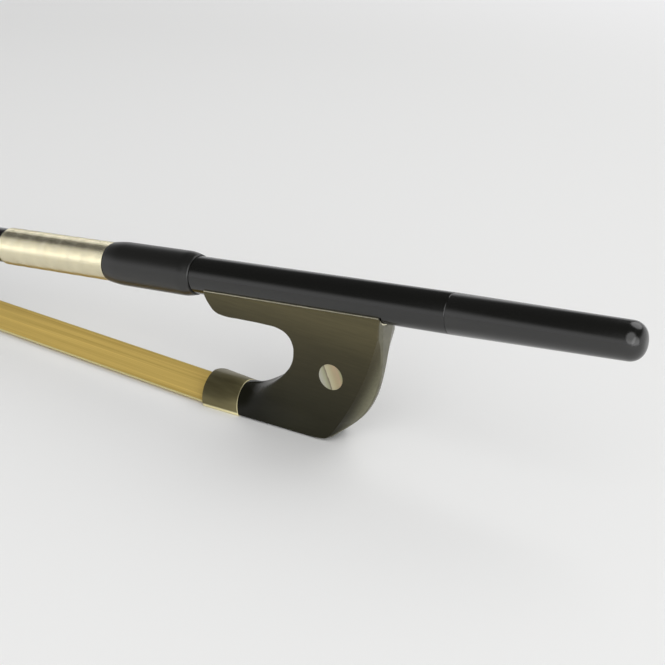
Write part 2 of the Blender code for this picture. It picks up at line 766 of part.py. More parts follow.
def half_thickness(x, z):
    """Half the frog's thickness at a point of the handle's plane."""
    place, up = world_of_handle(x, z)
    up = max(0.0, up)
    place += FERRULE_LEAN * up - FERRULE_FRONT
    face = FACE_HALF + TOP_FLARE * smooth_step((z - TOP_FLARE_FROM) / (TOP_FLARE_TO - TOP_FLARE_FROM))
    if x < FACE_START and z > MOUTH_MIDDLE:
        return face
    share = smooth_step((x - ARCH_END) / (FACE_START - ARCH_END))
    sole = FERRULE_HALF_WIDTH - JAW_INSET - SOLE_TAPER * place
    half = sole + (face - sole) * share * smooth_step(up / FLARE_HEIGHT)
    if share < 1:
        crest = JAW_HEIGHT + JAW_TOP_EDGE + JAW_RISE * max(0.0, x - JAW_FOOT) ** 2
        side_power = ARCH_SIDE_POWER * (FACE_SIDE_POWER / ARCH_SIDE_POWER) ** share
        top_power = ARCH_TOP_POWER * (FACE_TOP_POWER / ARCH_TOP_POWER) ** share
        half *= max(0.05, arch_share(up, crest, side_power, top_power)) ** (1 - share**4)
    radius = hypot(x - HEEL_ARC_X, z - HEEL_ARC_Z)
    angle = atan2(HEEL_ARC_Z - z, x - HEEL_ARC_X)
    edge = heel_edge(angle)
    start = min(HEEL_ARC_RADIUS, edge - FACET_LEAST)
    beyond = min(1.0, max(0.0, (radius - start) / (edge - start)))
    return half + (heel_edge_half(angle) - half) * beyond


def build_frog():
    mesh = outline_mesh(frog_outline(), FACE_HALF, resolution=3, bevel=EDGE_ROUND)
    bm = bmesh.new()
    bm.from_mesh(mesh)

    def slice_at(point, normal, inside=None):
        """Cuts with a plane through (x, z) the faces whose middle is inside, or all of them."""
        faces = [f for f in bm.faces if inside is None or inside(f.calc_center_median())]
        edges = {e for f in faces for e in f.edges}
        verts = {v for f in faces for v in f.verts}
        bmesh.ops.bisect_plane(
            bm,
            geom=[*verts, *edges, *faces],
            dist=1e-6,
            plane_co=(point[0], 0, point[1]),
            plane_no=(normal[0], 0, normal[1]),
        )

    for along in (-43.0, -40.5, -38.0, -35.5, -33.0, -30.5, -28.0, -25.5, -23.0, -20.5, -18.5, -16.5, -11.5, -6.4):
        slice_at((along * MM, 0), (1, 0))
    heel_start = -6.4 * MM
    sectors = [FACET_TOP + (FACET_BOTTOM - FACET_TOP) * step / 9 for step in range(10)]
    for angle in sectors:
        slice_at(
            (HEEL_ARC_X, HEEL_ARC_Z), (sin(angle), cos(angle)), inside=lambda middle: middle.x > heel_start
        )
    for first, last in zip([HEEL_ARC_START, *sectors], sectors):
        middle_angle = (first + last) / 2

        def in_sector(middle):
            angle = atan2(HEEL_ARC_Z - middle.z, middle.x - HEEL_ARC_X)
            return middle.x > heel_start and first < angle < last

        start = min(HEEL_ARC_RADIUS, heel_edge(middle_angle) - FACET_LEAST)
        chord = start * cos((last - first) / 2)
        slice_at(heel_point(middle_angle, chord), (cos(middle_angle), -sin(middle_angle)), in_sector)
    level = (sin(HANDLE_TILT), cos(HANDLE_TILT))
    for step in range(1, 7):
        slice_at(on_slide(0, JAW_HEIGHT * sin(pi / 2 * step / 7)), level)
    for height in (9.6, 11.4, 13.4, 16.0):
        slice_at(on_slide(0, height * MM), level, lambda middle: middle.x < FACE_START)
    for height in (-5.0, -7.5, -10.0):
        slice_at((0, height * MM), (0, 1))
    for vertex in bm.verts:
        vertex.co.y *= half_thickness(vertex.co.x, vertex.co.z) / FACE_HALF
    bmesh.ops.triangulate(bm, faces=bm.faces)
    bmesh.ops.recalc_face_normals(bm, faces=bm.faces)
    bm.to_mesh(mesh)
    bm.free()
    return add("frog_body", mesh, EBONY, FROG_AXIS)


frog_body = build_frog()


def ferrule_section(half_width, height, bottom=0.0, corner=0.0):
    """The D of the ferrule as (y, z): a flat underside with its corners cut off, and an arch over it."""
    start = asin(((bottom + corner) / height) ** (ARCH_SIDE_POWER / 2))
    arch = []
    for step in range(17):
        angle = start + (pi - 2 * start) * step / 16
        reach = half_width * abs(cos(angle)) ** (2 / ARCH_TOP_POWER)
        arch.append((reach if cos(angle) > 0 else -reach, height * sin(angle) ** (2 / ARCH_SIDE_POWER)))
    corners = [(-half_width + corner, bottom), (half_width - corner, bottom)] if corner else []
    return corners + arch


def lean_and_taper(mesh):
    """Draws a straight piece in towards its rear, and leans it towards the head."""
    for vertex in mesh.vertices:
        along = vertex.co.x - FERRULE_FRONT
        vertex.co.y *= 1 - SOLE_TAPER * along / FERRULE_HALF_WIDTH
        vertex.co.x -= FERRULE_LEAN * vertex.co.z


def d_solid(name, sections, start, end, material=None, parent=None, cutter=False):
    """Extrudes the D sections along X; a second section is a hole through the first."""
    curve = bpy.data.curves.new(name, "CURVE")
    curve.dimensions = "2D"
    curve.fill_mode = "BOTH"
    curve.extrude = (end - start) / 2
    for section in sections:
        spline = curve.splines.new("POLY")
        spline.points.add(len(section) - 1)
        spline.use_cyclic_u = True
        for point, (y, z) in zip(spline.points, section):
            point.co = (y, z, 0, 1)
    guide = bpy.data.objects.new(name + "_guide", curve)
    CUTTERS.objects.link(guide)
    graph = bpy.context.evaluated_depsgraph_get()
    mesh = bpy.data.meshes.new_from_object(guide.evaluated_get(graph))
    bpy.data.objects.remove(guide, do_unlink=True)
    turn = Matrix(((0, 0, 1, (start + end) / 2), (1, 0, 0, 0), (0, 1, 0, 0), (0, 0, 0, 1)))
    mesh.transform(turn)
    bm = bmesh.new()
    bm.from_mesh(mesh)
    bmesh.ops.remove_doubles(bm, verts=bm.verts, dist=0.000002)
    bmesh.ops.recalc_face_normals(bm, faces=bm.faces)
    bm.to_mesh(mesh)
    bm.free()
    return add(name, mesh, material, parent, cutter)


jaw_trim = box(
    "jaw_trim",
    (FERRULE_FRONT - 5 * MM, -2 * FERRULE_HALF_WIDTH, -2 * MM),
    (FERRULE_FRONT + FROG_BODY_START, 2 * FERRULE_HALF_WIDTH, 2 * JAW_HEIGHT),
    cutter=True,
)
lean_and_taper(jaw_trim.data)
cut(frog_body, jaw_trim)
tongue = d_solid(
    "tongue",
    [ferrule_section(TONGUE_HALF_WIDTH, TONGUE_HEIGHT, TONGUE_BOTTOM)],
    FERRULE_FRONT + TONGUE_START,
    FERRULE_FRONT + FROG_BODY_START + JAW_OVERHANG,
    cutter=True,
)
lean_and_taper(tongue.data)
cut(frog_body, tongue, "UNION")

groove = rod(
    "stick_groove",
    (FROG_FRONT - 5 * MM, 0, 0),
    (FROG_HEEL + 5 * MM, 0, 0),
    GROOVE_RADIUS / cos(pi / 40),
    40,
    parent=FROG_AXIS,
    cutter=True,
)
cut(frog_body, groove)


def plan_wedge(name, start, end, front_half, rear_half, low, high, material=None, cutter=False):
    """A flat piece in the slide's plane, its sides drawn in from front to rear."""
    length = end - start

    def build(bm):
        bmesh.ops.create_cube(bm, size=1.0)
        for vertex in bm.verts:
            share = vertex.co.x + 0.5
            half = front_half + (rear_half - front_half) * share
            vertex.co.x = FERRULE_FRONT + start + length * share
            vertex.co.y *= 2 * half
            vertex.co.z = low if vertex.co.z < 0 else high
        return bm

    return add(name, mesh_of(build), material, None, cutter)


CHANNEL_START = FERRULE_LENGTH - 2 * MM
SLIDE_START = FERRULE_LENGTH + SEAT
SLIDE_END = SLIDE_START + SLIDE_LENGTH
slide_bed = plan_wedge(
    "slide_bed",
    CHANNEL_START,
    SLIDE_END + SEAT,
    SLIDE_FRONT_HALF + SEAT,
    SLIDE_REAR_HALF + SEAT,
    -2 * MM,
    SLIDE_THICKNESS + SEAT,
    cutter=True,
)
hair_channel = plan_wedge(
    "hair_channel",
    CHANNEL_START,
    MORTISE_START + 2 * MM,
    SLIDE_FRONT_HALF + SEAT,
    MORTISE_WIDTH / 2,
    -1 * MM,
    HAIR_CHANNEL_FLOOR + HAIR_THICKNESS + SEAT,
    cutter=True,
)
frog_mortise = box(
    "frog_mortise",
    (FERRULE_FRONT + MORTISE_START, -MORTISE_WIDTH / 2, 0.5 * MM),
    (FERRULE_FRONT + MORTISE_START + MORTISE_LENGTH, MORTISE_WIDTH / 2, MORTISE_TOP),
    cutter=True,
)
shank_bore = rod(
    "shank_bore",
    (EYELET_X, 0, -STICK_RADIUS + 1 * MM),
    (EYELET_X, 0, -GROOVE_RADIUS - SHANK_LENGTH - SEAT),
    SHANK_RADIUS + SEAT,
    16,
    parent=FROG_AXIS,
    cutter=True,
)
eye_pocket = rod(
    "eye_pocket",
    (0, -FACE_HALF - 3 * MM, EYE_Z),
    (0, -FACE_HALF + EYE_DEPTH + SEAT, EYE_Z),
    EYE_RADIUS + SEAT,
    32,
    parent=FROG_AXIS,
    cutter=True,
)
far_eye_pocket = rod(
    "far_eye_pocket",
    (0, FACE_HALF + 3 * MM, EYE_Z),
    (0, FACE_HALF - EYE_DEPTH - SEAT, EYE_Z),
    EYE_RADIUS + SEAT,
    32,
    parent=FROG_AXIS,
    cutter=True,
)
for cutter in (slide_bed, hair_channel, frog_mortise, shank_bore, eye_pocket, far_eye_pocket):
    cut(frog_body, cutter)

for name, side in (("eye_near", -1), ("eye_far", 1)):
    rod(
        name,
        (0, side * (FACE_HALF - EYE_DEPTH), EYE_Z),
        (0, side * FACE_HALF, EYE_Z),
        EYE_RADIUS,
        32,
        PEARL,
        FROG_AXIS,
    )


# Ferrule, wedge, slide, pearl, plug and knot of the frog

ferrule = d_solid(
    "ferrule",
    [
        ferrule_section(FERRULE_HALF_WIDTH, FERRULE_HEIGHT, corner=FERRULE_CORNER),
        ferrule_section(INNER_HALF_WIDTH, INNER_HEIGHT, FERRULE_FLOOR),
    ],
    FERRULE_FRONT,
    FERRULE_FRONT + FERRULE_LENGTH,
    NICKEL,
)
lean_and_taper(ferrule.data)
WEDGE_HALF_LOW = INNER_HALF_WIDTH * arch_share(WEDGE_BOTTOM, INNER_HEIGHT) - 1.5 * SEAT
WEDGE_HALF_HIGH = INNER_HALF_WIDTH * arch_share(WEDGE_TOP, INNER_HEIGHT) - 1.5 * SEAT
wedge = plan_wedge(
    "spread_wedge",
    WEDGE_START,
    WEDGE_START + WEDGE_LENGTH,
    WEDGE_HALF_LOW,
    WEDGE_HALF_LOW,
    WEDGE_BOTTOM,
    WEDGE_TOP,
    MAPLE,
)
for vertex in wedge.data.vertices:
    if vertex.co.z > WEDGE_BOTTOM + SEAT:
        vertex.co.y *= WEDGE_HALF_HIGH / WEDGE_HALF_LOW
        if vertex.co.x > FERRULE_FRONT + WEDGE_START + SEAT:
            vertex.co.z -= WEDGE_FALL
lean_and_taper(wedge.data)
bevel_edges(wedge, 0.3 * MM, 1)

pearl_bed = plan_wedge(
    "pearl_bed",
    SLIDE_START + PEARL_MARGIN,
    SLIDE_END - PEARL_MARGIN,
    SLIDE_FRONT_HALF - PEARL_MARGIN,
    SLIDE_REAR_HALF - PEARL_MARGIN,
    -1 * MM,
    PEARL_THICKNESS + SEAT,
    cutter=True,
)
slide = plan_wedge(
    "slide",
    SLIDE_START,
    SLIDE_END,
    SLIDE_FRONT_HALF,
    SLIDE_REAR_HALF,
    0,
    SLIDE_THICKNESS,
    EBONY,
)
cut(slide, pearl_bed)
plan_wedge(
    "slide_pearl",
    SLIDE_START + PEARL_MARGIN + SEAT,
    SLIDE_END - PEARL_MARGIN - SEAT,
    SLIDE_FRONT_HALF - PEARL_MARGIN - SEAT,
    SLIDE_REAR_HALF - PEARL_MARGIN - SEAT,
    0,
    PEARL_THICKNESS,
    PEARL,
)
KNOT_START = FERRULE_FRONT + MORTISE_START + MORTISE_LENGTH - SEAT - FROG_KNOT_LENGTH
frog_knot = box(
    "frog_knot",
    (KNOT_START, -MORTISE_WIDTH / 2 + SEAT, HAIR_CHANNEL_FLOOR),
    (KNOT_START + FROG_KNOT_LENGTH, MORTISE_WIDTH / 2 - SEAT, MORTISE_TOP - SEAT),
    KNOT_THREAD,
)
bevel_edges(frog_knot, 0.8 * MM)
frog_plug = box(
    "frog_plug",
    (FERRULE_FRONT + MORTISE_START + SEAT, -MORTISE_WIDTH / 2 + SEAT,
     HAIR_CHANNEL_FLOOR + HAIR_THICKNESS + SEAT),
    (KNOT_START - SEAT, MORTISE_WIDTH / 2 - SEAT, MORTISE_TOP - SEAT),
    MAPLE,
)
bevel_edges(frog_plug, 0.4 * MM)


# Underslide and eyelet

def build_underslide():
    """A thin trough of an arc's section that lines the frog's groove."""
    inner = STICK_RADIUS + SLIDE_FIT
    reach = asin((FACE_HALF + TOP_FLARE) / GROOVE_RADIUS) + UNDERSLIDE_LIP / GROOVE_RADIUS
    angles = [-reach + 2 * reach * step / 16 for step in range(17)]
    section = [(UNDERSLIDE_RADIUS * sin(a), -UNDERSLIDE_RADIUS * cos(a)) for a in angles]
    section += [(inner * sin(a), -inner * cos(a)) for a in reversed(angles)]
    end = heel_point(asin((HEEL_ARC_Z + GROOVE_RADIUS) / HEEL_ARC_RADIUS), HEEL_ARC_RADIUS)[0]
    return d_solid("underslide", [section], FROG_FRONT + SEAT, end - LINING_SEAT, NICKEL, FROG_AXIS)


underslide = build_underslide()
shank_clear = rod(
    "shank_clear",
    (EYELET_X, 0, -STICK_RADIUS + 1 * MM),
    (EYELET_X, 0, -STICK_RADIUS - 4 * MM),
    SHANK_RADIUS + SEAT,
    16,
    parent=FROG_AXIS,
    cutter=True,
)
cut(underslide, shank_clear)


def build_eyelet():
    """The brass eyelet: a flat eye round the screw on a shank that goes down into the frog."""
    half = EYELET_LENGTH / 2
    bottom = -STICK_RADIUS + 0.8 * MM
    outline = [
        (EYELET_X - half, bottom, False),
        (EYELET_X - half, 0.0, True),
        (EYELET_X - half * 0.7, EYELET_TOP * 0.75, True),
        (EYELET_X, EYELET_TOP, True),
        (EYELET_X + half * 0.7, EYELET_TOP * 0.75, True),
        (EYELET_X + half, 0.0, True),
        (EYELET_X + half, bottom, False),
    ]
    mesh = outline_mesh(outline, EYELET_WIDTH / 2, resolution=3)
    return add("eyelet", mesh, BRASS, FROG_AXIS)


eyelet = build_eyelet()
shank = rod(
    "eyelet_shank",
    (EYELET_X, 0, -STICK_RADIUS + 1.4 * MM),
    (EYELET_X, 0, -GROOVE_RADIUS - SHANK_LENGTH),
    SHANK_RADIUS,
    16,
    parent=FROG_AXIS,
    cutter=True,
)
thread_bore = rod(
    "eyelet_bore",
    (EYELET_X - EYELET_LENGTH, 0, 0),
    (EYELET_X + EYELET_LENGTH, 0, 0),
    SCREW_RADIUS + SEAT,
    16,
    parent=FROG_AXIS,
    cutter=True,
)
cut(eyelet, shank, "UNION")
cut(eyelet, thread_bore)


# Hair: strands between a slice at the head and one in the frog, all in one mesh

def hair_end(bm, x, width, thickness, floor, facing):
    """A face of cells across X, one cell for each strand. Gives the rows of inset faces."""
    columns, rows = HAIR_COLUMNS, HAIR_ROWS
    grid = [
        [bm.verts.new((x, width * (c / columns - 0.5), floor + thickness * r / rows)) for r in range(rows + 1)]
        for c in range(columns + 1)
    ]
    cells = []
    for c in range(columns):
        for r in range(rows):
            corners = [grid[c][r], grid[c + 1][r], grid[c + 1][r + 1], grid[c][r + 1]]
            cells.append((corners, Vector((x, width * ((c + 0.5) / columns - 0.5),
                                           floor + thickness * (r + 0.5) / rows))))
    strands = []
    for corners, middle in cells:
        inner = [bm.verts.new(middle + (v.co - middle) * STRAND_SHARE) for v in corners]
        for i in range(4):
            quad = [corners[i], corners[(i + 1) % 4], inner[(i + 1) % 4], inner[i]]
            bm.faces.new(quad if facing > 0 else quad[::-1])
        strands.append(inner)
    rim = [grid[c][0] for c in range(columns + 1)]
    rim += [grid[columns][r] for r in range(1, rows + 1)]
    rim += [grid[c][rows] for c in range(columns - 1, -1, -1)]
    rim += [grid[0][r] for r in range(rows - 1, 0, -1)]
    return strands, rim


def block_behind(bm, rim, sections, facing):
    """Runs the slice back from the rim through four-cornered sections and closes it."""
    columns, rows = HAIR_COLUMNS, HAIR_ROWS
    corners = [0, columns, columns + rows, 2 * columns + rows]
    count = len(rim)
    ring = [bm.verts.new(co) for co in sections[0]]
    for i in range(4):
        first, last = corners[i], corners[(i + 1) % 4] or count
        last = count if i == 3 else last
        chain = [rim[k % count] for k in range(first, last + 1)]
        face = [*chain, ring[(i + 1) % 4], ring[i]]
        bm.faces.new(face[::-1] if facing > 0 else face)
    for section in sections[1:]:
        following = [bm.verts.new(co) for co in section]
        for i in range(4):
            quad = [ring[i], ring[(i + 1) % 4], following[(i + 1) % 4], following[i]]
            bm.faces.new(quad[::-1] if facing > 0 else quad)
        ring = following
    bm.faces.new(ring[::-1] if facing > 0 else ring)


def rectangle(x, half, low, high):
    return [(x, -half, low), (x, half, low), (x, half, high), (x, -half, high)]


HEAD_HAIR_FLOOR = PLATE_FLOOR - SEAT - HAIR_HEAD_THICKNESS


def build_hair():
    bm = bmesh.new()
    front = FERRULE_FRONT + 1.0 * MM
    ramp = FERRULE_FRONT + WEDGE_START + WEDGE_LENGTH + 0.5 * MM
    ramp_half = HAIR_WIDTH / 2 - SOLE_TAPER * (ramp - FERRULE_FRONT)
    channel = FERRULE_FRONT + FERRULE_LENGTH + 0.4 * MM
    knot = KNOT_START - SEAT
    head = HEAD_X + 0.5 * MM
    frog_strands, frog_rim = hair_end(bm, front, HAIR_WIDTH, HAIR_THICKNESS, HAIR_FLOOR, -1)
    head_strands, head_rim = hair_end(
        bm, head, HAIR_HEAD_WIDTH, HAIR_HEAD_THICKNESS, HEAD_HAIR_FLOOR, 1
    )
    for near, far in zip(frog_strands, head_strands):
        for i in range(4):
            bm.faces.new([near[i], near[(i + 1) % 4], far[(i + 1) % 4], far[i]])
    low, high = HAIR_CHANNEL_FLOOR, HAIR_CHANNEL_FLOOR + HAIR_THICKNESS
    block_behind(
        bm,
        frog_rim,
        [
            rectangle(ramp, ramp_half, HAIR_FLOOR, HAIR_FLOOR + HAIR_THICKNESS),
            rectangle(channel, SLIDE_FRONT_HALF - 2 * SEAT, low, high),
            rectangle(FERRULE_FRONT + MORTISE_START, MORTISE_WIDTH / 2 - 2 * SEAT, low, high),
            rectangle(knot, MORTISE_WIDTH / 2 - 2 * SEAT, low, high),
        ],
        -1,
    )
    block_behind(
        bm,
        head_rim,
        [
            rectangle(
                MORTISE_BACK - SEAT - HEAD_KNOT_LENGTH + 1 * MM,
                HEAD_MORTISE_WIDTH / 2 - SEAT,
                HEAD_HAIR_FLOOR,
                HEAD_HAIR_FLOOR + HAIR_HEAD_THICKNESS,
            )
        ],
        1,
    )
    bmesh.ops.recalc_face_normals(bm, faces=bm.faces)
    mesh = bpy.data.meshes.new("hair")
    bm.to_mesh(mesh)
    bm.free()
    return add("hair", mesh, HORSEHAIR)


build_hair()

for obj in PARTS.objects:
    if obj.type == "MESH":
        obj.data.shade_smooth()
        obj.data.set_sharp_from_angle(angle=radians(32))
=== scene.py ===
import json
from math import asin, cos, hypot, pi, radians, sin

import bmesh
import bpy
import numpy as np
from mathutils import Matrix, Vector


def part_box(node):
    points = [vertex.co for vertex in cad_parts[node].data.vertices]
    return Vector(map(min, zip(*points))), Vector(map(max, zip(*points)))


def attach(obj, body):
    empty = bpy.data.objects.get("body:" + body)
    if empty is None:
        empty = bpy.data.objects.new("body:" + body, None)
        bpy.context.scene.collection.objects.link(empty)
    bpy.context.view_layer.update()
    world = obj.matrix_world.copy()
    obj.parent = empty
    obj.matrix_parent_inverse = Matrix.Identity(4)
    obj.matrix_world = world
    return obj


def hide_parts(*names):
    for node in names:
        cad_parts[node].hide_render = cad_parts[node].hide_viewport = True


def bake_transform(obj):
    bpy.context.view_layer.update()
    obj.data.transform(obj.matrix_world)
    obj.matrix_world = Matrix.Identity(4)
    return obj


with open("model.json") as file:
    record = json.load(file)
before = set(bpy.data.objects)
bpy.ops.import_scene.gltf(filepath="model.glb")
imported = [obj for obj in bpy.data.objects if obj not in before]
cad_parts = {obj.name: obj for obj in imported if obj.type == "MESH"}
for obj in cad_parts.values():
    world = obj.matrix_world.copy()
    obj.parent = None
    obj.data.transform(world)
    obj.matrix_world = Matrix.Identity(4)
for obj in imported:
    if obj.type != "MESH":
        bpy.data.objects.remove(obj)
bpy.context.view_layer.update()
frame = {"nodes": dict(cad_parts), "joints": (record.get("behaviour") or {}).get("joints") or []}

# The handle and the camera
# The stick rises from the hair, so the handle has axes of its own: X along the stick to the button.
# The camera stands where the photograph was taken from, in front of the handle and above it.

MM = 0.001
scene = bpy.context.scene
screw_joint = next(joint for joint in frame["joints"] if joint["name"] == "screw_turn")
handle_tilt = asin(screw_joint["axis"][2])
HANDLE = Matrix.Translation(screw_joint["pos_m"]) @ Matrix.Rotation(-handle_tilt, 4, "Y")

azimuth, elevation, roll = radians(32.579), radians(21.564), radians(-3.516)
ahead = Vector((-sin(azimuth) * cos(elevation), cos(azimuth) * cos(elevation), -sin(elevation)))
level = Vector((cos(azimuth), sin(azimuth), 0))
upright = level.cross(ahead)
across = cos(roll) * level + sin(roll) * upright
above = cos(roll) * upright - sin(roll) * level
camera = bpy.data.objects.new("camera", bpy.data.cameras.new("camera"))
camera.data.sensor_width = 36
camera.data.lens = 64.99
camera.data.clip_start = 0.01
camera_place = Matrix.Translation(Vector((187.97, -296.34, 126.31)) * MM)
camera.matrix_world = HANDLE @ camera_place @ Matrix((across, above, -ahead)).transposed().to_4x4()
scene.collection.objects.link(camera)
scene.camera = camera
scene.view_settings.view_transform = "Standard"


# The studio
# A pale plain floor that runs into pale walls, a darker ceiling and three wide soft lamps. The floor is
# clear from below, and for the light of surfaces that all but touch it, so that the sole isn't black.

FLOOR_COLOUR = (0.84, 0.84, 0.83)
WALL_COLOUR = (0.99, 0.99, 1.0)
WALL_STRENGTH = 0.9
CEILING_STRENGTH = 0.09
ROOM_STRENGTH = 0.5
WALL_LOW = 0.16
WALL_HIGH = 0.5
FLOOR_FADE_START = 0.45
FLOOR_FADE_END = 1.2
FLOOR_HALF = 4.0
FLOOR_GAP = 0.3 * MM
TOUCHING_LENGTH = 4.0 * MM


class Shade:
    """A socket of a node tree. A sum or product of it adds the Math node that works it out."""

    def __init__(self, tree, socket=None):
        self.tree = tree
        self.socket = socket

    def node(self, kind, settings=None, inputs=None, output=0):
        """Any node by its type: its settings first, then the values or links of its sockets."""
        made = self.tree.nodes.new("ShaderNode" + kind)
        for key, value in (settings or {}).items():
            if key == "stops":
                ramp = made.color_ramp
                while len(ramp.elements) < len(value):
                    ramp.elements.new(0.5)
                for element, (place, tone) in zip(ramp.elements, value):
                    element.position = place
                    element.color = (*tone, 1.0)
            else:
                setattr(made, key, value)
        for key, value in (inputs or {}).items():
            self.join(value, made.inputs[key])
        return Shade(self.tree, made.outputs[output])

    def join(self, value, target):
        if isinstance(value, Shade):
            self.tree.links.new(value.socket, target)
        elif target.type == "RGBA" and len(value) == 3:
            target.default_value = (*value, 1.0)
        else:
            target.default_value = value

    def maths(self, operation, *values):
        return self.node("Math", {"operation": operation}, dict(enumerate(values)))

    def vector_maths(self, operation, *values, output="Value"):
        return self.node("VectorMath", {"operation": operation}, dict(enumerate((self, *values))), output)

    def part(self, axis):
        """One coordinate of this place."""
        return self.node("SeparateXYZ", inputs={0: self}, output=axis)

    def mix(self, first, second):
        """A colour between two, with this value as the share of the second."""
        return self.node("Mix", {"data_type": "RGBA"}, {0: self, 6: first, 7: second}, output=2)

    def tinted(self, tint):
        """This colour times another."""
        settings = {"data_type": "RGBA", "blend_type": "MULTIPLY"}
        return self.node("Mix", settings, {0: 1.0, 6: self, 7: tint}, output=2)

    def smooth(self, start, end, first=0.0, last=1.0):
        """Goes from first to last without a kink while this value goes from start to end."""
        limits = {"From Min": start, "From Max": end, "To Min": first, "To Max": last}
        return self.node("MapRange", {"interpolation_type": "SMOOTHSTEP"}, {"Value": self, **limits})

    def noise(self, scale, detail):
        """Noise that stays with the piece. Three scales in place of one draw it out into streaks."""
        place = self.node("TexCoord", output="Object")
        if isinstance(scale, tuple):
            place = self.node("Mapping", inputs={"Vector": place, "Scale": scale})
            scale = 1.0
        return self.node("TexNoise", inputs={"Vector": place, "Scale": scale, "Detail": detail})

    def __add__(self, other):
        return self.maths("ADD", self, other)

    __radd__ = __add__

    def __sub__(self, other):
        return self.maths("SUBTRACT", self, other)

    def __rsub__(self, other):
        return self.maths("SUBTRACT", other, self)

    def __mul__(self, other):
        return self.maths("MULTIPLY", self, other)

    __rmul__ = __mul__

    def __truediv__(self, other):
        return self.maths("DIVIDE", self, other)


def finish(name, base, roughness, **constants):
    """A Principled material with its constant values. Gives the material, its tree and its shader."""
    material = bpy.data.materials.new(name)
    material.use_nodes = True
    shader = material.node_tree.nodes["Principled BSDF"]
    shader.inputs["Base Color"].default_value = (*base, 1.0)
    shader.inputs["Roughness"].default_value = roughness
    for key, value in constants.items():
        shader.inputs[key.replace("_", " ").title().replace("Ior", "IOR")].default_value = value
    return material, Shade(material.node_tree), shader


def is_seen(shade):
    """1 for the rays of a view, a reflection or a glass, and 0 for the rays that light the bow."""
    seen = shade.node("LightPath", output="Is Camera Ray")
    for kind in ("Is Glossy Ray", "Is Transmission Ray"):
        seen = seen.maths("MAXIMUM", seen, shade.node("LightPath", output=kind))
    return seen


world = bpy.data.worlds.new("studio")
scene.world = world
world.use_nodes = True
room = Shade(world.node_tree)
seen = is_seen(room)
background = world.node_tree.nodes["Background"]
background.inputs["Color"].default_value = (*WALL_COLOUR, 1.0)
upward = room.node("TexCoord", output="Generated").part("Z")
walls = upward.smooth(WALL_LOW, WALL_HIGH, WALL_STRENGTH, CEILING_STRENGTH)
room.join(seen * walls + (1 - seen) * ROOM_STRENGTH, background.inputs["Strength"])

floor_look, shade, shader = finish("floor", FLOOR_COLOUR, 0.7, specular_ior_level=0.25)
away = shade.node("TexCoord", output="Object").vector_maths("LENGTH")
far = away.smooth(FLOOR_FADE_START, FLOOR_FADE_END)
wall_strength = is_seen(shade) * (WALL_STRENGTH - ROOM_STRENGTH) + ROOM_STRENGTH
wall_light = shade.node("Emission", inputs={"Color": WALL_COLOUR, "Strength": wall_strength})
matt = Shade(shade.tree, shader.outputs["BSDF"])
paper = shade.node("MixShader", inputs={0: far, 1: matt, 2: wall_light})
short = shade.maths("LESS_THAN", shade.node("LightPath", output="Ray Length"), TOUCHING_LENGTH)
touching = short * (1 - is_seen(shade))
clear = shade.maths("MAXIMUM", shade.node("NewGeometry", output="Backfacing"), touching)
surface = shade.node("MixShader", inputs={0: clear, 1: paper, 2: shade.node("BsdfTransparent")})
shade.join(surface, shade.tree.nodes["Material Output"].inputs["Surface"])
bm = bmesh.new()
bmesh.ops.create_grid(bm, x_segments=1, y_segments=1, size=FLOOR_HALF)
floor_mesh = bpy.data.meshes.new("floor")
bm.to_mesh(floor_mesh)
bm.free()
floor_mesh.materials.append(floor_look)
floor = bpy.data.objects.new("floor", floor_mesh)
floor.location.z = -FLOOR_GAP
scene.collection.objects.link(floor)


def lamp(name, place, aim, size, watts):
    data = bpy.data.lights.new(name, "AREA")
    data.shape = "DISK"
    data.size = size
    data.energy = watts
    obj = bpy.data.objects.new(name, data)
    obj.location = place
    obj.rotation_euler = (Vector(aim) - Vector(place)).to_track_quat("-Z", "Y").to_euler()
    scene.collection.objects.link(obj)


frog_place = HANDLE.translation
lamp("lamp_front", frog_place + Vector((0.55, -1.1, 0.9)), frog_place, size=1.9, watts=12.5)
lamp("lamp_back", frog_place + Vector((0.3, 1.1, 1.2)), frog_place, size=1.5, watts=9.5)
lamp("lamp_side", frog_place + Vector((1.3, -0.7, 0.25)), frog_place, size=1.5, watts=7.5)


# The stick
# A round carbon tube with its head moulded in one, black and satin, with no grain to be seen. It is
# bored for the screw, slotted under the frog for the eyelet, and its rear end is slightly rounded.

carbon, shade, shader = finish("carbon", (0.0030, 0.0030, 0.0022), 0.2, specular_ior_level=0.75)
cloud = shade.noise(60.0, 3.0)
pores = shade.noise(2600.0, 2.0)
shade.join(0.13 + cloud * 0.08 + pores * 0.03, shader.inputs["Roughness"])

STICK_RADIUS = 6.3 * MM
STICK_TIP_RADIUS = 3.8 * MM
STICK_END = 41.0 * MM
STICK_STRAIGHT = 150.0 * MM
STICK_REAR = ((0.0, 0.97), (0.05, 0.984), (0.15, 0.995), (0.3, 1.0), (60.0, 1.0))
TAPER_POWER = 1.25
CAMBER_STEPS = 60
EYE_FROM_FERRULE = 42.4 * MM
HAIR_LENGTH = 575.0 * MM
HEAD_LENGTH = 33.5 * MM
HEAD_HEIGHT = 21.0 * MM
HEAD_ROOT = 9.5 * MM
HEAD_SHOULDER = 15.0 * MM
SHOULDER_STEPS = 12
SHOULDER_POWER = 2.2
SHOULDER_TIP = 0.1
NOSE_SHARE = 0.45
NOSE_LEAST = 0.05
HEAD_RIDGE_WIDTH = 6.4 * MM
HEAD_OVERHANG = 0.2 * MM
HEAD_ROUND = 1.5 * MM
HEAD_SLIM_SHARE = 0.8
HEAD_CUT_SHARE = 1.2
HEAD_CUTS = 24
NOSE_CUTS = 14
SEAT = 0.3 * MM
PAST_END = 2 * MM
SCREW_BORE = 2.1 * MM
SCREW_BORE_FRONT = -19 * MM
COLLAR_RECESS = 3.7 * MM
COLLAR_DEPTH = 2 * MM
SLOT_FRONT = -0.5 * MM
SLOT_REAR = 6.5 * MM
SLOT_TOP = 3.7 * MM
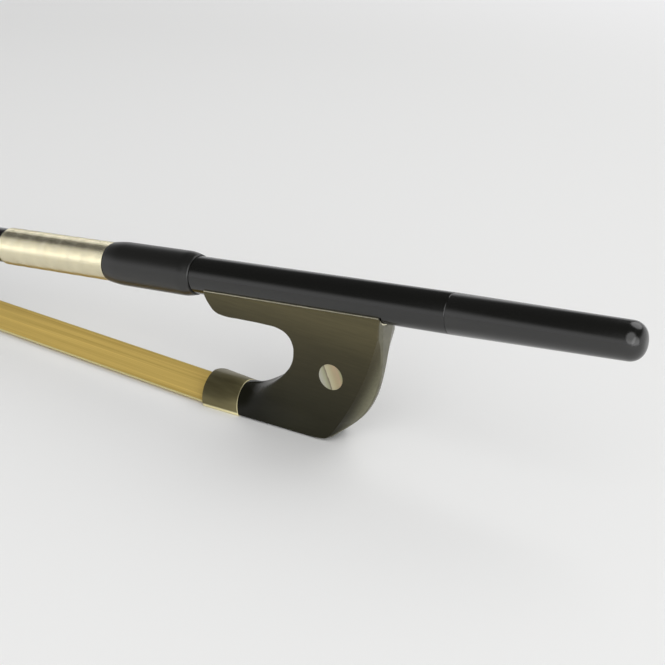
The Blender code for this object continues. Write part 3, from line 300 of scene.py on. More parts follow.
MERGE_DISTANCE = 2e-6
CUT_DISTANCE = 1e-6
LEVEL_WITHIN = 1e-7
RIM_ANGLE = radians(60)

ferrule_front = HANDLE.translation.x - EYE_FROM_FERRULE
head_x = ferrule_front - HAIR_LENGTH
plate_low, plate_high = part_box("head_plate")
plate_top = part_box("head_liner")[1].z + SEAT


def closed(bm, name):
    """The mesh of a bmesh, its faces turned outwards."""
    bmesh.ops.recalc_face_normals(bm, faces=bm.faces)
    mesh = bpy.data.meshes.new(name)
    bm.to_mesh(mesh)
    bm.free()
    return mesh


def mesh_of_curve(curve):
    """The mesh of a curve, closed and facing out."""
    guide = bpy.data.objects.new(curve.name, curve)
    scene.collection.objects.link(guide)
    graph = bpy.context.evaluated_depsgraph_get()
    made = bpy.data.meshes.new_from_object(guide.evaluated_get(graph))
    bpy.data.objects.remove(guide, do_unlink=True)
    bm = bmesh.new()
    bm.from_mesh(made)
    bmesh.ops.remove_doubles(bm, verts=bm.verts, dist=MERGE_DISTANCE)
    return closed(bm, curve.name)


def tube(name, points, radius, resolution):
    """A round bar with closed ends along points, each a place and the share of the radius there."""
    curve = bpy.data.curves.new(name, "CURVE")
    curve.dimensions = "3D"
    curve.bevel_depth = radius
    curve.bevel_resolution = resolution
    curve.use_fill_caps = True
    spline = curve.splines.new("POLY")
    spline.points.add(len(points) - 1)
    for point, (place, share) in zip(spline.points, points):
        point.co = (*place, 1)
        point.radius = share
    return mesh_of_curve(curve)


def put(name, mesh, look, body, replaced, sharp, matrix=None):
    """Places a new piece, gives it its finish and its body, and hides the CAD nodes it stands for."""
    if matrix is not None:
        mesh.transform(matrix)
    mesh.shade_smooth()
    mesh.set_sharp_from_angle(angle=radians(sharp))
    if not mesh.materials:
        mesh.materials.append(look)
    obj = bpy.data.objects.new(name, mesh)
    scene.collection.objects.link(obj)
    if body:
        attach(obj, body)
    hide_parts(*replaced)
    return obj


def dress(node, look):
    """Gives a CAD piece that stays its finish."""
    for slot in frame["nodes"][node].material_slots:
        slot.link = "OBJECT"
        slot.material = look


def carved(mesh, tools):
    """The mesh after each tool, a mesh and DIFFERENCE or UNION, has been taken to it in turn."""
    blank = bpy.data.objects.new("blank", mesh)
    scene.collection.objects.link(blank)
    helpers = [blank]
    for tool, operation in tools:
        cutter = bpy.data.objects.new("tool", tool)
        scene.collection.objects.link(cutter)
        helpers.append(cutter)
        boolean = blank.modifiers.new("carve", "BOOLEAN")
        boolean.operation = operation
        boolean.object = cutter
    graph = bpy.context.evaluated_depsgraph_get()
    made = bpy.data.meshes.new_from_object(blank.evaluated_get(graph))
    for obj in helpers:
        bpy.data.objects.remove(obj, do_unlink=True)
    return made


def block(low, high):
    """A block between two corners."""
    bm = bmesh.new()
    bmesh.ops.create_cube(bm, size=1.0)
    bmesh.ops.scale(bm, vec=Vector(high) - Vector(low), verts=bm.verts)
    bmesh.ops.translate(bm, vec=(Vector(high) + Vector(low)) / 2, verts=bm.verts)
    return closed(bm, "block")


def rod(start, end, radius, sides):
    """A round bar between two points."""
    start, end = Vector(start), Vector(end)
    bm = bmesh.new()
    bmesh.ops.create_cone(
        bm, cap_ends=True, segments=sides, radius1=radius, radius2=radius, depth=(end - start).length
    )
    turn = (end - start).to_track_quat("Z", "Y").to_matrix().to_4x4()
    bmesh.ops.transform(bm, matrix=Matrix.Translation((start + end) / 2) @ turn, verts=bm.verts)
    return closed(bm, "rod")


def round_edges(bm, edges, offset, segments):
    bmesh.ops.bevel(bm, geom=edges, offset=offset, segments=segments, profile=0.5, affect="EDGES")


def outline_mesh(points, half_depth, resolution, edge, segments):
    """A flat shape in the XZ plane, filled, with depth along Y and its rim rounded.

    Each point is (x, z, smooth); smooth points join their neighbours by a curve.
    """
    curve = bpy.data.curves.new("outline", "CURVE")
    curve.dimensions = "2D"
    curve.fill_mode = "BOTH"
    curve.extrude = half_depth
    curve.resolution_u = resolution
    spline = curve.splines.new("BEZIER")
    spline.bezier_points.add(len(points) - 1)
    spline.use_cyclic_u = True
    for point, (x, z, smooth) in zip(spline.bezier_points, points):
        point.co = (x, z, 0)
        point.handle_left_type = point.handle_right_type = "AUTO" if smooth else "VECTOR"
    bm = bmesh.new()
    bm.from_mesh(mesh_of_curve(curve))
    bmesh.ops.dissolve_limit(bm, angle_limit=radians(0.3), verts=bm.verts, edges=bm.edges)
    rim = [e for e in bm.edges if e.is_manifold and e.calc_face_angle() > RIM_ANGLE]
    rim = [e for e in rim if abs(e.verts[0].co.z - e.verts[1].co.z) < LEVEL_WITHIN]
    round_edges(bm, rim, edge, segments)
    bmesh.ops.transform(bm, matrix=Matrix.Rotation(pi / 2, 4, "X"), verts=bm.verts)
    return bm


def smooth_step(value):
    """0 up to 0, 1 from 1 on, and a smooth rise between them."""
    value = min(1.0, max(0.0, value))
    return value * value * (3 - 2 * value)


camber_start = HANDLE @ Vector((-STICK_STRAIGHT, 0, 0))
camber_length = camber_start.x - (head_x + HEAD_ROOT)
camber_fall = np.tan(handle_tilt)
camber_bend = (plate_low.z + HEAD_HEIGHT - camber_start.z + camber_fall * camber_length) / camber_length**2


def stick_axis(share):
    """A point of the stick's axis, from the camber's start (0) to the root of the head (1)."""
    along = share * camber_length
    height = camber_start.z - camber_fall * along + camber_bend * along * along
    return Vector((camber_start.x - along, 0, height))


stations = []
for back, radius in STICK_REAR:
    stations.append((HANDLE @ Vector((STICK_END - back * MM, 0, 0)), radius))
tip_share = STICK_TIP_RADIUS / STICK_RADIUS
for step in range(CAMBER_STEPS + 1):
    share = step / CAMBER_STEPS
    stations.append((stick_axis(share), 1 - (1 - tip_share) * share**TAPER_POWER))
for step in range(1, SHOULDER_STEPS + 1):
    inward = step / SHOULDER_STEPS
    place = stick_axis(1 + inward * HEAD_SHOULDER / camber_length)
    stations.append((place, tip_share * (1 - inward**SHOULDER_POWER) ** 0.5 + SHOULDER_TIP * inward))
stick_mesh = tube("stick", stations, STICK_RADIUS, resolution=22)

# The head's outline: how far a point lies towards the nose, as a share of the head's length, how far
# above the axis at the head's root, and whether it is smooth. Above the axis, and just below it, the
# height is a share of the head's height. Further down it is a share of the drop to the plate.
HEAD_OUTLINE = (
    (-0.12, 0.06, False),
    (0.10, 0.195, True),
    (0.50, 0.185, True),
    (0.72, 0.02, True),
    (0.80, -0.30, True),
    (0.88, -0.66, True),
    (1.00, -1.0, False),
    (1.03, -1.12, False),
    (0.285, -1.12, False),
    (0.27, -0.66, True),
    (0.20, -0.36, True),
    (0.02, -0.215, True),
    (-0.12, -0.06, False),
)
HEAD_LOWER = -0.2
root = stick_axis(1.0)
drop = root.z - plate_top
head_width = plate_high.y - plate_low.y + HEAD_OVERHANG
head_points = []
for forward, up, smooth in HEAD_OUTLINE:
    reach = drop if up < HEAD_LOWER else HEAD_HEIGHT
    head_points.append((root.x - forward * HEAD_LENGTH, root.z + up * reach, smooth))
bm = outline_mesh(head_points, head_width / 2, resolution=12, edge=HEAD_ROUND, segments=5)
nose = root.x - HEAD_LENGTH
nose_length = NOSE_SHARE * (HEAD_LENGTH - HEAD_ROOT)
cuts = []
for step in range(HEAD_CUTS):
    cuts.append(((0, 0, plate_top + drop * HEAD_CUT_SHARE * step / HEAD_CUTS), (0, 0, 1)))
for step in range(1, NOSE_CUTS + 1):
    cuts.append(((nose + nose_length * step / NOSE_CUTS, 0, 0), (1, 0, 0)))
for place, normal in cuts:
    foot = place[2] == plate_top
    bmesh.ops.bisect_plane(
        bm,
        geom=bm.verts[:] + bm.edges[:] + bm.faces[:],
        dist=CUT_DISTANCE,
        plane_co=place,
        plane_no=normal,
        clear_inner=foot,
    )
    if foot:
        bmesh.ops.holes_fill(bm, edges=[edge for edge in bm.edges if edge.is_boundary], sides=0)
for vertex in bm.verts:
    slim = smooth_step((vertex.co.z - plate_top) / (HEAD_SLIM_SHARE * drop))
    drawn_in = max(NOSE_LEAST, sin(pi / 2 * min(1.0, (vertex.co.x - nose) / nose_length)))
    vertex.co.y *= drawn_in * (1 + (HEAD_RIDGE_WIDTH / head_width - 1) * slim)
bmesh.ops.remove_doubles(bm, verts=bm.verts, dist=MERGE_DISTANCE)
bmesh.ops.dissolve_degenerate(bm, dist=CUT_DISTANCE, edges=bm.edges)
bmesh.ops.triangulate(bm, faces=bm.faces)
head_mesh = closed(bm, "head")

knot_low, knot_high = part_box("head_knot")
plug_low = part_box("head_plug")[0]
head_mortise = block(
    (plug_low.x - SEAT, knot_low.y - SEAT, 0),
    (knot_high.x + SEAT, knot_high.y + SEAT, knot_high.z + SEAT),
)
eyelet_low, eyelet_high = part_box("eyelet")
travel = next(joint for joint in frame["joints"] if joint["name"] == "frog_slide")["range_m"]
slot_cut = block(
    (SLOT_FRONT + travel[0] - 2 * SEAT, eyelet_low.y - SEAT, -2 * STICK_RADIUS),
    (SLOT_REAR + travel[1] + 2 * SEAT, eyelet_high.y + SEAT, SLOT_TOP),
)
past_end = (STICK_END + PAST_END, 0, 0)
screw_bore = rod((SCREW_BORE_FRONT, 0, 0), past_end, SCREW_BORE, sides=32)
collar_recess = rod((STICK_END - COLLAR_DEPTH - SEAT, 0, 0), past_end, COLLAR_RECESS, sides=32)
stick_cuts = []
for tool in (screw_bore, collar_recess, slot_cut):
    tool.transform(HANDLE)
    stick_cuts.append((tool, "DIFFERENCE"))
hollow_head = carved(head_mesh, [(head_mortise, "DIFFERENCE")])
bored_stick = carved(stick_mesh, stick_cuts)
whole_stick = carved(bored_stick, [(hollow_head, "UNION")])
put("stick_shaft", whole_stick, carbon, "stick", ["stick"], sharp=40)


# The head's plate and hair end
# A white plate over a black liner closes the head, and a maple plug holds the knot of the hair in its
# mortise. The plate and the liner are glued on and filed to the head's outline.

ivory, shade, shader = finish("ivory_white", (0.78, 0.73, 0.60), 0.3, coat_weight=0.3, coat_roughness=0.1)
lines = shade.noise((60.0, 1500.0, 60.0), 3.0)
shade.join(lines.mix((0.70, 0.64, 0.50), (0.84, 0.80, 0.69)), shader.inputs["Base Color"])
liner, shade, shader = finish("liner_black", (0.014, 0.013, 0.012), 0.5)
grit = shade.noise(900.0, 2.0)
shade.join(0.4 + grit * 0.2, shader.inputs["Roughness"])
maple, shade, shader = finish("maple", (0.60, 0.42, 0.23), 0.6)
grain = shade.noise((1500.0, 1500.0, 120.0), 4.0)
shade.join(grain.mix((0.46, 0.29, 0.13), (0.68, 0.50, 0.30)), shader.inputs["Base Color"])
thread, shade, shader = finish("knot_thread", (0.40, 0.31, 0.15), 0.7)
wound = shade.noise((300.0, 300.0, 4500.0), 2.0)
shade.join(wound.mix((0.26, 0.19, 0.08), (0.55, 0.44, 0.24)), shader.inputs["Base Color"])
dress("head_plate", ivory)
dress("head_liner", liner)
for node in ("head_plug", "frog_plug", "spread_wedge"):
    dress(node, maple)
for node in ("head_knot", "frog_knot"):
    dress(node, thread)


# The thumb grip
# A black rubbery sleeve drawn over the stick behind the lapping. Its ends are rounded over, and the
# head end swells out over a longer shoulder.

grip_look, shade, shader = finish("grip_leather", (0.0045, 0.0045, 0.0034), 0.36, specular_ior_level=0.75)
skin = shade.noise(1800.0, 3.0)
shade.join(0.27 + skin * 0.14, shader.inputs["Roughness"])
bump = shade.node("Bump", inputs={"Height": skin, "Strength": 0.06, "Distance": 0.0001})
shade.join(bump, shader.inputs["Normal"])

GRIP_REAR = -52.3 * MM
GRIP_HEAD = -89.2 * MM
GRIP_RADIUS = 7.55 * MM
GRIP_NECK_RADIUS = 7.0 * MM
GRIP_SHOULDER = 6.5 * MM
GRIP_REAR_RADIUS = 6.85 * MM
GRIP_REAR_SHOULDER = 4.8 * MM
GRIP_LIP = 0.3 * MM
GRIP_SEAT = 0.06 * MM
GRIP_ROUND = 0.48 * MM
ROUND_STEPS = 8


def turned(name, profile, sides=72):
    """A piece turned about the handle's axis from its outline of (distance along it, radius)."""
    bm = bmesh.new()
    points = [bm.verts.new((along, 0, radius)) for along, radius in profile]
    edges = [bm.edges.new(pair) for pair in zip(points, points[1:])]
    bmesh.ops.spin(
        bm,
        geom=[*points, *edges],
        cent=(0, 0, 0),
        axis=(1, 0, 0),
        angle=2 * pi,
        steps=sides,
        use_merge=True,
    )
    bmesh.ops.remove_doubles(bm, verts=bm.verts, dist=MERGE_DISTANCE)
    return closed(bm, name)


def quarter(start, length, start_radius, end_radius, steps=8):
    """Points of an outline that rises as a quarter wave from one radius to another."""
    waves = [pi / 2 * step / steps for step in range(steps + 1)]
    rise = end_radius - start_radius
    return [(start + length * wave * 2 / pi, start_radius + rise * sin(wave)) for wave in waves]


rear_start = GRIP_REAR - GRIP_ROUND
rear_length = GRIP_ROUND - GRIP_REAR_SHOULDER
grip_profile = [
    (GRIP_HEAD, STICK_RADIUS + GRIP_SEAT),
    *quarter(GRIP_HEAD, GRIP_LIP, GRIP_NECK_RADIUS - GRIP_LIP, GRIP_NECK_RADIUS, steps=4),
    *quarter(GRIP_HEAD + GRIP_LIP, GRIP_SHOULDER, GRIP_NECK_RADIUS, GRIP_RADIUS)[1:],
    *reversed(quarter(rear_start, rear_length, GRIP_REAR_RADIUS, GRIP_RADIUS)),
    *[
        (GRIP_REAR - GRIP_ROUND * (1 - sin(turn)), GRIP_REAR_RADIUS - GRIP_ROUND * (1 - cos(turn)))
        for turn in (pi / 2 / ROUND_STEPS * step for step in range(1, ROUND_STEPS))
    ],
    (GRIP_REAR, STICK_RADIUS + GRIP_SEAT),
    (GRIP_HEAD, STICK_RADIUS + GRIP_SEAT),
]
grip_mesh = turned("grip", grip_profile)
put("grip_sleeve", grip_mesh, grip_look, "stick", ["thumb_grip"], sharp=50, matrix=HANDLE)


# The lapping
# Fine silver wire wound turn against turn round the stick.

silver, shade, shader = finish("silver", (0.84, 0.78, 0.58), 0.24, metallic=1.0)
tarnish = shade.noise((260.0, 90.0, 90.0), 3.0)
shade.join(tarnish.mix((0.78, 0.72, 0.52), (0.90, 0.84, 0.64)), shader.inputs["Base Color"])
WIRE_RADIUS = 0.16 * MM
WIRE_PITCH = 0.31 * MM
LAPPING_REAR = -89.5 * MM
LAPPING_LENGTH = 49.9 * MM
WIRE_WINDING = 6.64 * MM
TURN_POINTS = 36

turns = int(LAPPING_LENGTH / WIRE_PITCH)
winding = []
for index in range(turns * TURN_POINTS + 1):
    angle = 2 * pi * index / TURN_POINTS
    along = LAPPING_REAR - WIRE_RADIUS - WIRE_PITCH * index / TURN_POINTS
    winding.append(((along, WIRE_WINDING * cos(angle), WIRE_WINDING * sin(angle)), 1.0))
wire = tube("winding", winding, WIRE_RADIUS, resolution=1)
put("lapping_wire", wire, silver, "stick", ["lapping"], sharp=80, matrix=HANDLE)


# The frog
# Ebony sawn to a beak and a U-shaped mouth. Its jaw is rounded to run into the ferrule, and its heel is
# thinned by a bevel outside a long arc. It is polished, and its edges are slightly rounded.

FACE_HALF = 5.6 * MM
TOP_FLARE = 0.45 * MM
FLARE_START = -12 * MM
FLARE_SPAN = 8 * MM
FROG_FRONT = -46.8 * MM
BEAK_DEPTH = -4.2 * MM
BLANK_TOP = -2.0 * MM
GROOVE_RADIUS = 6.85 * MM
EDGE_ROUND = 0.6 * MM
FERRULE_LENGTH = 13.6 * MM
FERRULE_HALF_WIDTH = 10.65 * MM
FERRULE_HEIGHT = 8.3 * MM
FERRULE_LEAN = 0.384
ARCH_TOP_POWER = 1.65
ARCH_SIDE_POWER = 1.95
SOLE_TAPER = 0.087
SOLE_END = 41.8 * MM
SOLE_FADE = 9 * MM
JAW_INSET = 0.15 * MM
JAW_HEIGHT = FERRULE_HEIGHT - JAW_INSET
JAW_GAP = 0.12 * MM
JAW_START = FERRULE_LENGTH + JAW_GAP
JAW_LEAST = 10.7 * MM
JAW_CUTS = 15
JAW_REAR = -15 * MM
JAW_CREST = -26 * MM
REAR_START = 5 * MM
REAR_FACING = 0.6
EDGE_ON = 0.2
FACE_ON = 0.97
CREST_START = -38.3 * MM
CREST_RISE = 24.5
BODY_START = -33 * MM
BODY_SPAN = 16 * MM
BODY_SIDE_POWER = 12.0
BODY_TOP_POWER = 8.0
LIP_REAR = -17 * MM
LIP_DEPTH = -20 * MM
HEEL_START = -6.4 * MM
HEEL_SWELL = 4.4 * MM
HEEL_SWELL_POWER = 1.4
HEEL_STEPS = 12
BEVEL_LEAST = 0.5 * MM
SECTORS = 24
HEEL_ARC_RADIUS = 105.0 * MM
HEEL_ARC_X = -82.5 * MM
HEEL_ARC_Z = 20.1 * MM
FACET_TOP = radians(14.4)
FACET_BOTTOM = radians(40.0)
HEEL_TOP = asin((HEEL_ARC_Z - BLANK_TOP) / HEEL_ARC_RADIUS)
THIN_HALF = 0.8 * MM
UPPER_HALF = 3.4 * MM
UPPER_POWER = 1.8
LOWER_HALF = 4.8 * MM
THIN_START = radians(27.0)
UPPER_SPAN = radians(13.7)
THIN_END = radians(35.0)
LOWER_SPAN = radians(5.0)
TONGUE_INSET = 0.85 * MM
TONGUE_BOTTOM = 3.7 * MM
TONGUE_START = 1.2 * MM
TONGUE_END = 17.1 * MM
SHANK_X = 3.0 * MM
SHANK_TOP = -5.3 * MM
SHANK_BOTTOM = -16.2 * MM
SHANK_BORE = 2.0 * MM
EYE_X = 0.45 * MM
EYE_Z = -25.5 * MM
EYE_RADIUS = 4.35 * MM
EYE_DEPTH = 1.3 * MM
POCKET_GAP = 0.04 * MM
POCKET_PAST = 3 * MM
POCKET_FLOOR = 0.1 * MM
# How high the frog's painted shade runs, from darkest at the sole to lightest at the top.
PAINTED_SHADE_HEIGHT = 44.0 * MM

# The outline of the mouth in the plane of the handle, in mm, from the beak round to the jaw.
MOUTH = (
    (-46.4, -5.3),
    (-45.35, -7.4),
    (-43.2, -10.0),
    (-39.8, -11.0),
    (-33.7, -11.2),
    (-24.0, -11.5),
    (-18.2, -12.2),
    (-15.1, -13.9),
    (-13.5, -16.9),
    (-13.4, -19.8),
    (-14.4, -23.5),
    (-17.1, -27.2),
    (-20.6, -30.3),
    (-24.9, -32.9),
    (-29.4, -34.6),
    (-34.0, -35.35),
)
into_handle = HANDLE.inverted()
heel_centre = HANDLE @ Vector((HEEL_ARC_X, 0, HEEL_ARC_Z))

ebony, shade, shader = finish("ebony", (0.04, 0.034, 0.02), 0.3, specular_ior_level=0.2)
where = shade.node("TexCoord", output="Object")
grain = shade.noise((90.0, 1400.0, 1400.0), 4.0)
side_view = where.vector_maths("MULTIPLY", (1.0, 0.0, 1.0), output="Vector")
from_heel_centre = side_view.vector_maths("DISTANCE", heel_centre)
along = where.part("X") - ferrule_front
height = where.part("Z")
# The wood is painted darker towards the sole and lighter towards the top: painted shade.
painted_shade_by_height = shade.node(
    "ValToRGB",
    {
        "stops": [
            (0.06, (0.0145, 0.0135, 0.0055)),
            (0.30, (0.022, 0.020, 0.009)),
            (0.50, (0.031, 0.027, 0.0125)),
            (0.72, (0.044, 0.038, 0.0175)),
            (0.95, (0.082, 0.070, 0.033)),
        ]
    },
    {"Fac": height / PAINTED_SHADE_HEIGHT},
)
# The jaw's flank below the mouth is painted nearly black: painted shade.
painted_jaw_flank_shade = along.smooth(36.0 * MM, 16.0 * MM) * height.smooth(16.0 * MM, 7.0 * MM)
tone_with_painted_flank_shade = (painted_jaw_flank_shade * 0.85).mix(painted_shade_by_height, (0.004, 0.004, 0.002))
# Outside the heel's arc the bevel is painted pale: a painted highlight.
bevel = from_heel_centre.smooth(105.2 * MM, 109.6 * MM)
wood = bevel.mix(tone_with_painted_flank_shade, (0.165, 0.160, 0.105))
figure = grain.mix((0.78, 0.78, 0.78), (1.22, 1.22, 1.22))
shade.join(wood.tinted(figure), shader.inputs["Base Color"])
shade.join(0.26 + grain * 0.1, shader.inputs["Roughness"])

# A paler ebony for the frog's rounded edges and its narrow rear: a painted highlight.
painted_edge_highlight, shade, shader = finish("ebony_edge", (0.12, 0.11, 0.07), 0.24, specular_ior_level=0.4)
painted_edge_highlight_tone = shade.noise(300.0, 2.0)
shade.join(painted_edge_highlight_tone.mix((0.085, 0.080, 0.050), (0.150, 0.142, 0.092)), shader.inputs["Base Color"])


def on_slide(along, up=0.0):
    """A point of the handle's plane, from its place along the hair and above the frog's flat sole."""
    place = into_handle @ Vector((ferrule_front + along, 0, up))
    return place.x, place.z


def arch_share(up, height, side_power=ARCH_SIDE_POWER, top_power=ARCH_TOP_POWER):
    """How much of its half-width an arch keeps at a height."""
    return (1 - min(1.0, up / height) ** side_power) ** (1 / top_power)


def heel_point(angle, radius):
    """A point about the centre of the heel's arc."""
    return HEEL_ARC_X + radius * cos(angle), HEEL_ARC_Z - radius * sin(angle)


def heel_edge(angle):
    """How far the frog's rear edge lies from the centre of the heel's arc."""
    share = min(1.0, max(0.0, (angle - FACET_TOP) / (FACET_BOTTOM - FACET_TOP)))
    return HEEL_ARC_RADIUS + HEEL_SWELL * sin(pi * share**HEEL_SWELL_POWER)


def heel_edge_half(angle):
    """Half the frog's thickness at its rear edge."""
    above = max(0.0, THIN_START - angle) / UPPER_SPAN
    below = smooth_step((angle - THIN_END) / LOWER_SPAN)
    return THIN_HALF + UPPER_HALF * above**UPPER_POWER + LOWER_HALF * below


def half_thickness(x, z):
    """Half the frog's thickness at a point of the handle's plane."""
    place = HANDLE @ Vector((x, 0, z))
    up = max(0.0, place.z)
    along = place.x - ferrule_front + FERRULE_LEAN * up
    face = FACE_HALF + TOP_FLARE * smooth_step((z - FLARE_START) / FLARE_SPAN)
    if x < LIP_REAR and z > LIP_DEPTH:
        return face
    share = smooth_step((x - BODY_START) / BODY_SPAN)
    sole = FERRULE_HALF_WIDTH - JAW_INSET - SOLE_TAPER * along
    half = sole + (face - sole) * share * smooth_step(up / SOLE_FADE)
    if share < 1:
        crest = JAW_HEIGHT + JAW_GAP + CREST_RISE * max(0.0, x - CREST_START) ** 2
        side_power = ARCH_SIDE_POWER * (BODY_SIDE_POWER / ARCH_SIDE_POWER) ** share
        top_power = ARCH_TOP_POWER * (BODY_TOP_POWER / ARCH_TOP_POWER) ** share
        half *= max(0.05, arch_share(up, crest, side_power, top_power)) ** (1 - share**4)
    radius = hypot(x - HEEL_ARC_X, z - HEEL_ARC_Z)
    angle = np.arctan2(HEEL_ARC_Z - z, x - HEEL_ARC_X)
    edge = heel_edge(angle)
    start = min(HEEL_ARC_RADIUS, edge - BEVEL_LEAST)
    beyond = min(1.0, max(0.0, (radius - start) / (edge - start)))
    return half + (heel_edge_half(angle) - half) * beyond


heel = [FACET_BOTTOM - (FACET_BOTTOM - FACET_TOP) * step / HEEL_STEPS for step in range(HEEL_STEPS + 1)]
outline = [
    (FROG_FRONT, BLANK_TOP, False),
    (FROG_FRONT, BEAK_DEPTH, True),
    *[(x * MM, z * MM, True) for x, z in MOUTH],
    (*on_slide(JAW_LEAST, JAW_HEIGHT), False),
    (*on_slide(JAW_LEAST), False),
    (*on_slide(SOLE_END), False),
    *[(*heel_point(angle, heel_edge(angle)), True) for angle in heel],
    (*heel_point(HEEL_TOP, HEEL_ARC_RADIUS), False),
]
bm = outline_mesh(outline, FACE_HALF, resolution=9, edge=EDGE_ROUND, segments=4)
bm.normal_update()

# Rounded edges, but not the jaw's, and the narrow edge of the rear get a paler colour: a painted
# highlight.
for face in bm.faces:
    middle = face.calc_center_median()
    jaw = middle.x < JAW_REAR and middle.z < JAW_CREST
    rear = face.normal.x > REAR_FACING and middle.x > REAR_START
    rounded = EDGE_ON < abs(face.normal.y) < FACE_ON
    face.material_index = int((rounded and not jaw) or rear)


def slice_at(point, normal, inside=None):
    """Cuts with a plane through (x, z) the faces whose middle is inside, or all of them."""
    chosen = [f for f in bm.faces if inside is None or inside(f.calc_center_median())]
    edges = {e for f in chosen for e in f.edges}
    corners = {v for f in chosen for v in f.verts}
    bmesh.ops.bisect_plane(
        bm,
        geom=[*corners, *edges, *chosen],
        dist=CUT_DISTANCE,
        plane_co=(point[0], 0, point[1]),
        plane_no=(normal[0], 0, normal[1]),
    )


# The cuts give the faces the rows that the frog's thickness needs: upright ones from the beak to the
# heel, rays and short chords of the heel's arc, and level ones above the sole and below the stick.
for along in np.arange(-46.0, -6.5, 1.1):
    slice_at((along * MM, 0), (1, 0))
slice_at((HEEL_START, 0), (1, 0))
sectors = [FACET_TOP + (FACET_BOTTOM - FACET_TOP) * step / SECTORS for step in range(SECTORS + 1)]
for angle in sectors:
    slice_at((HEEL_ARC_X, HEEL_ARC_Z), (sin(angle), cos(angle)), lambda middle: middle.x > HEEL_START)
for first, last in zip([HEEL_TOP, *sectors], sectors):
    centre = (first + last) / 2

    def in_sector(middle):
        turn = np.arctan2(HEEL_ARC_Z - middle.z, middle.x - HEEL_ARC_X)
        return middle.x > HEEL_START and first < turn < last

    arc = min(HEEL_ARC_RADIUS, heel_edge(centre) - BEVEL_LEAST)
    slice_at(heel_point(centre, arc * cos((last - first) / 2)), (cos(centre), -sin(centre)), in_sector)
level_normal = (sin(handle_tilt), cos(handle_tilt))
for step in range(1, JAW_CUTS):
    slice_at(on_slide(0, JAW_HEIGHT * sin(pi / 2 * step / JAW_CUTS)), level_normal)
for up in (9.0, 10.0, 11.0, 12.0, 13.2, 14.5, 16.0, 18.0, 20.0):
    slice_at(on_slide(0, up * MM), level_normal)
for height in (-4.0, -5.2, -6.4, -7.6, -8.8, -10.0, -11.2):
    slice_at((0, height * MM), (0, 1))
for vertex in bm.verts:
    vertex.co.y *= half_thickness(vertex.co.x, vertex.co.z) / FACE_HALF
bmesh.ops.triangulate(bm, faces=bm.faces)
frog_mesh = closed(bm, "frog")
frog_mesh.materials.append(ebony)
frog_mesh.materials.append(painted_edge_highlight)
frog_mesh.transform(HANDLE)


def lean_and_taper(mesh):
    """Draws a straight piece in towards its rear, and leans it towards the head."""
    for vertex in mesh.vertices:
        vertex.co.y *= 1 - SOLE_TAPER * (vertex.co.x - ferrule_front) / FERRULE_HALF_WIDTH
        vertex.co.x -= FERRULE_LEAN * vertex.co.z


def arch_section(half_width, height, bottom=0.0, corner=0.0, steps=64):
    """The D of the ferrule as (y, z): a flat underside with its corners taken off, and an arch over it."""
    start = asin(((bottom + corner) / height) ** (ARCH_SIDE_POWER / 2))
    section = [(-half_width + corner, bottom), (half_width - corner, bottom)] if corner else []
    for step in range(steps + 1):
        angle = start + (pi - 2 * start) * step / steps
        reach = half_width * abs(cos(angle)) ** (2 / ARCH_TOP_POWER)
        section.append((reach if cos(angle) > 0 else -reach, height * sin(angle) ** (2 / ARCH_SIDE_POWER)))
    return section


def prism(section, start, end):
    """A straight piece along the hair with the same (y, z) section all the way."""
    bm = bmesh.new()
    corners = [bm.verts.new((start, y, z)) for y, z in section]
    moved = bmesh.ops.extrude_face_region(bm, geom=[bm.faces.new(corners)])["geom"]
    moved = [item for item in moved if isinstance(item, bmesh.types.BMVert)]
    bmesh.ops.translate(bm, vec=(end - start, 0, 0), verts=moved)
    return closed(bm, "prism")


jaw_trim = block((ferrule_front - 5 * MM, -0.03, -2 * MM), (ferrule_front + JAW_START, 0.03, 17 * MM))
tongue = prism(
    arch_section(FERRULE_HALF_WIDTH - TONGUE_INSET, FERRULE_HEIGHT - TONGUE_INSET, TONGUE_BOTTOM),
    ferrule_front + TONGUE_START,
    ferrule_front + TONGUE_END,
)
for mesh in (jaw_trim, tongue):
    lean_and_taper(mesh)
groove = rod((-60 * MM, 0, 0), (30 * MM, 0, 0), GROOVE_RADIUS, sides=96)
groove.transform(HANDLE)
shank_bore = rod((SHANK_X, 0, SHANK_TOP), (SHANK_X, 0, SHANK_BOTTOM), SHANK_BORE, sides=32)
shank_bore.transform(HANDLE)
eye_pockets = []
for side in (-1, 1):
    pocket = rod(
        (EYE_X, side * (FACE_HALF + POCKET_PAST), EYE_Z),
        (EYE_X, side * (FACE_HALF - EYE_DEPTH - POCKET_FLOOR), EYE_Z),
        EYE_RADIUS + POCKET_GAP,
        sides=96,
    )
    pocket.transform(HANDLE)
    eye_pockets.append(pocket)


def plan_wedge(start, end, front_half, rear_half, low, high):
    """A flat piece under the frog, its sides drawn in from front to rear."""
    mesh = block((0, -1, low), (1, 1, high))
    for vertex in mesh.vertices:
        vertex.co.y *= front_half + (rear_half - front_half) * vertex.co.x
        vertex.co.x = ferrule_front + start + (end - start) * vertex.co.x
    return mesh


slide_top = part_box("slide")[1].z
slide_bed = plan_wedge(
    start=11.6 * MM,
    end=39.0 * MM,
    front_half=8.65 * MM,
    rear_half=6.12 * MM,
    low=-2 * MM,
    high=slide_top + 0.15 * MM,
)
hair_channel = plan_wedge(
    start=11.6 * MM,
    end=28.2 * MM,
    front_half=8.7 * MM,
    rear_half=4.2 * MM,
    low=-1 * MM,
    high=2.8 * MM,
)
knot_low, knot_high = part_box("frog_knot")
plug_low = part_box("frog_plug")[0]
frog_mortise = block(
    (plug_low.x - SEAT, plug_low.y - SEAT, 0.5 * MM),
    (knot_high.x + SEAT, knot_high.y + SEAT, knot_high.z + SEAT),
)
frog_tools = [(jaw_trim, "DIFFERENCE"), (tongue, "UNION"), (groove, "DIFFERENCE")]
for tool in (slide_bed, hair_channel, frog_mortise, shank_bore, *eye_pockets):
    frog_tools.append((tool, "DIFFERENCE"))
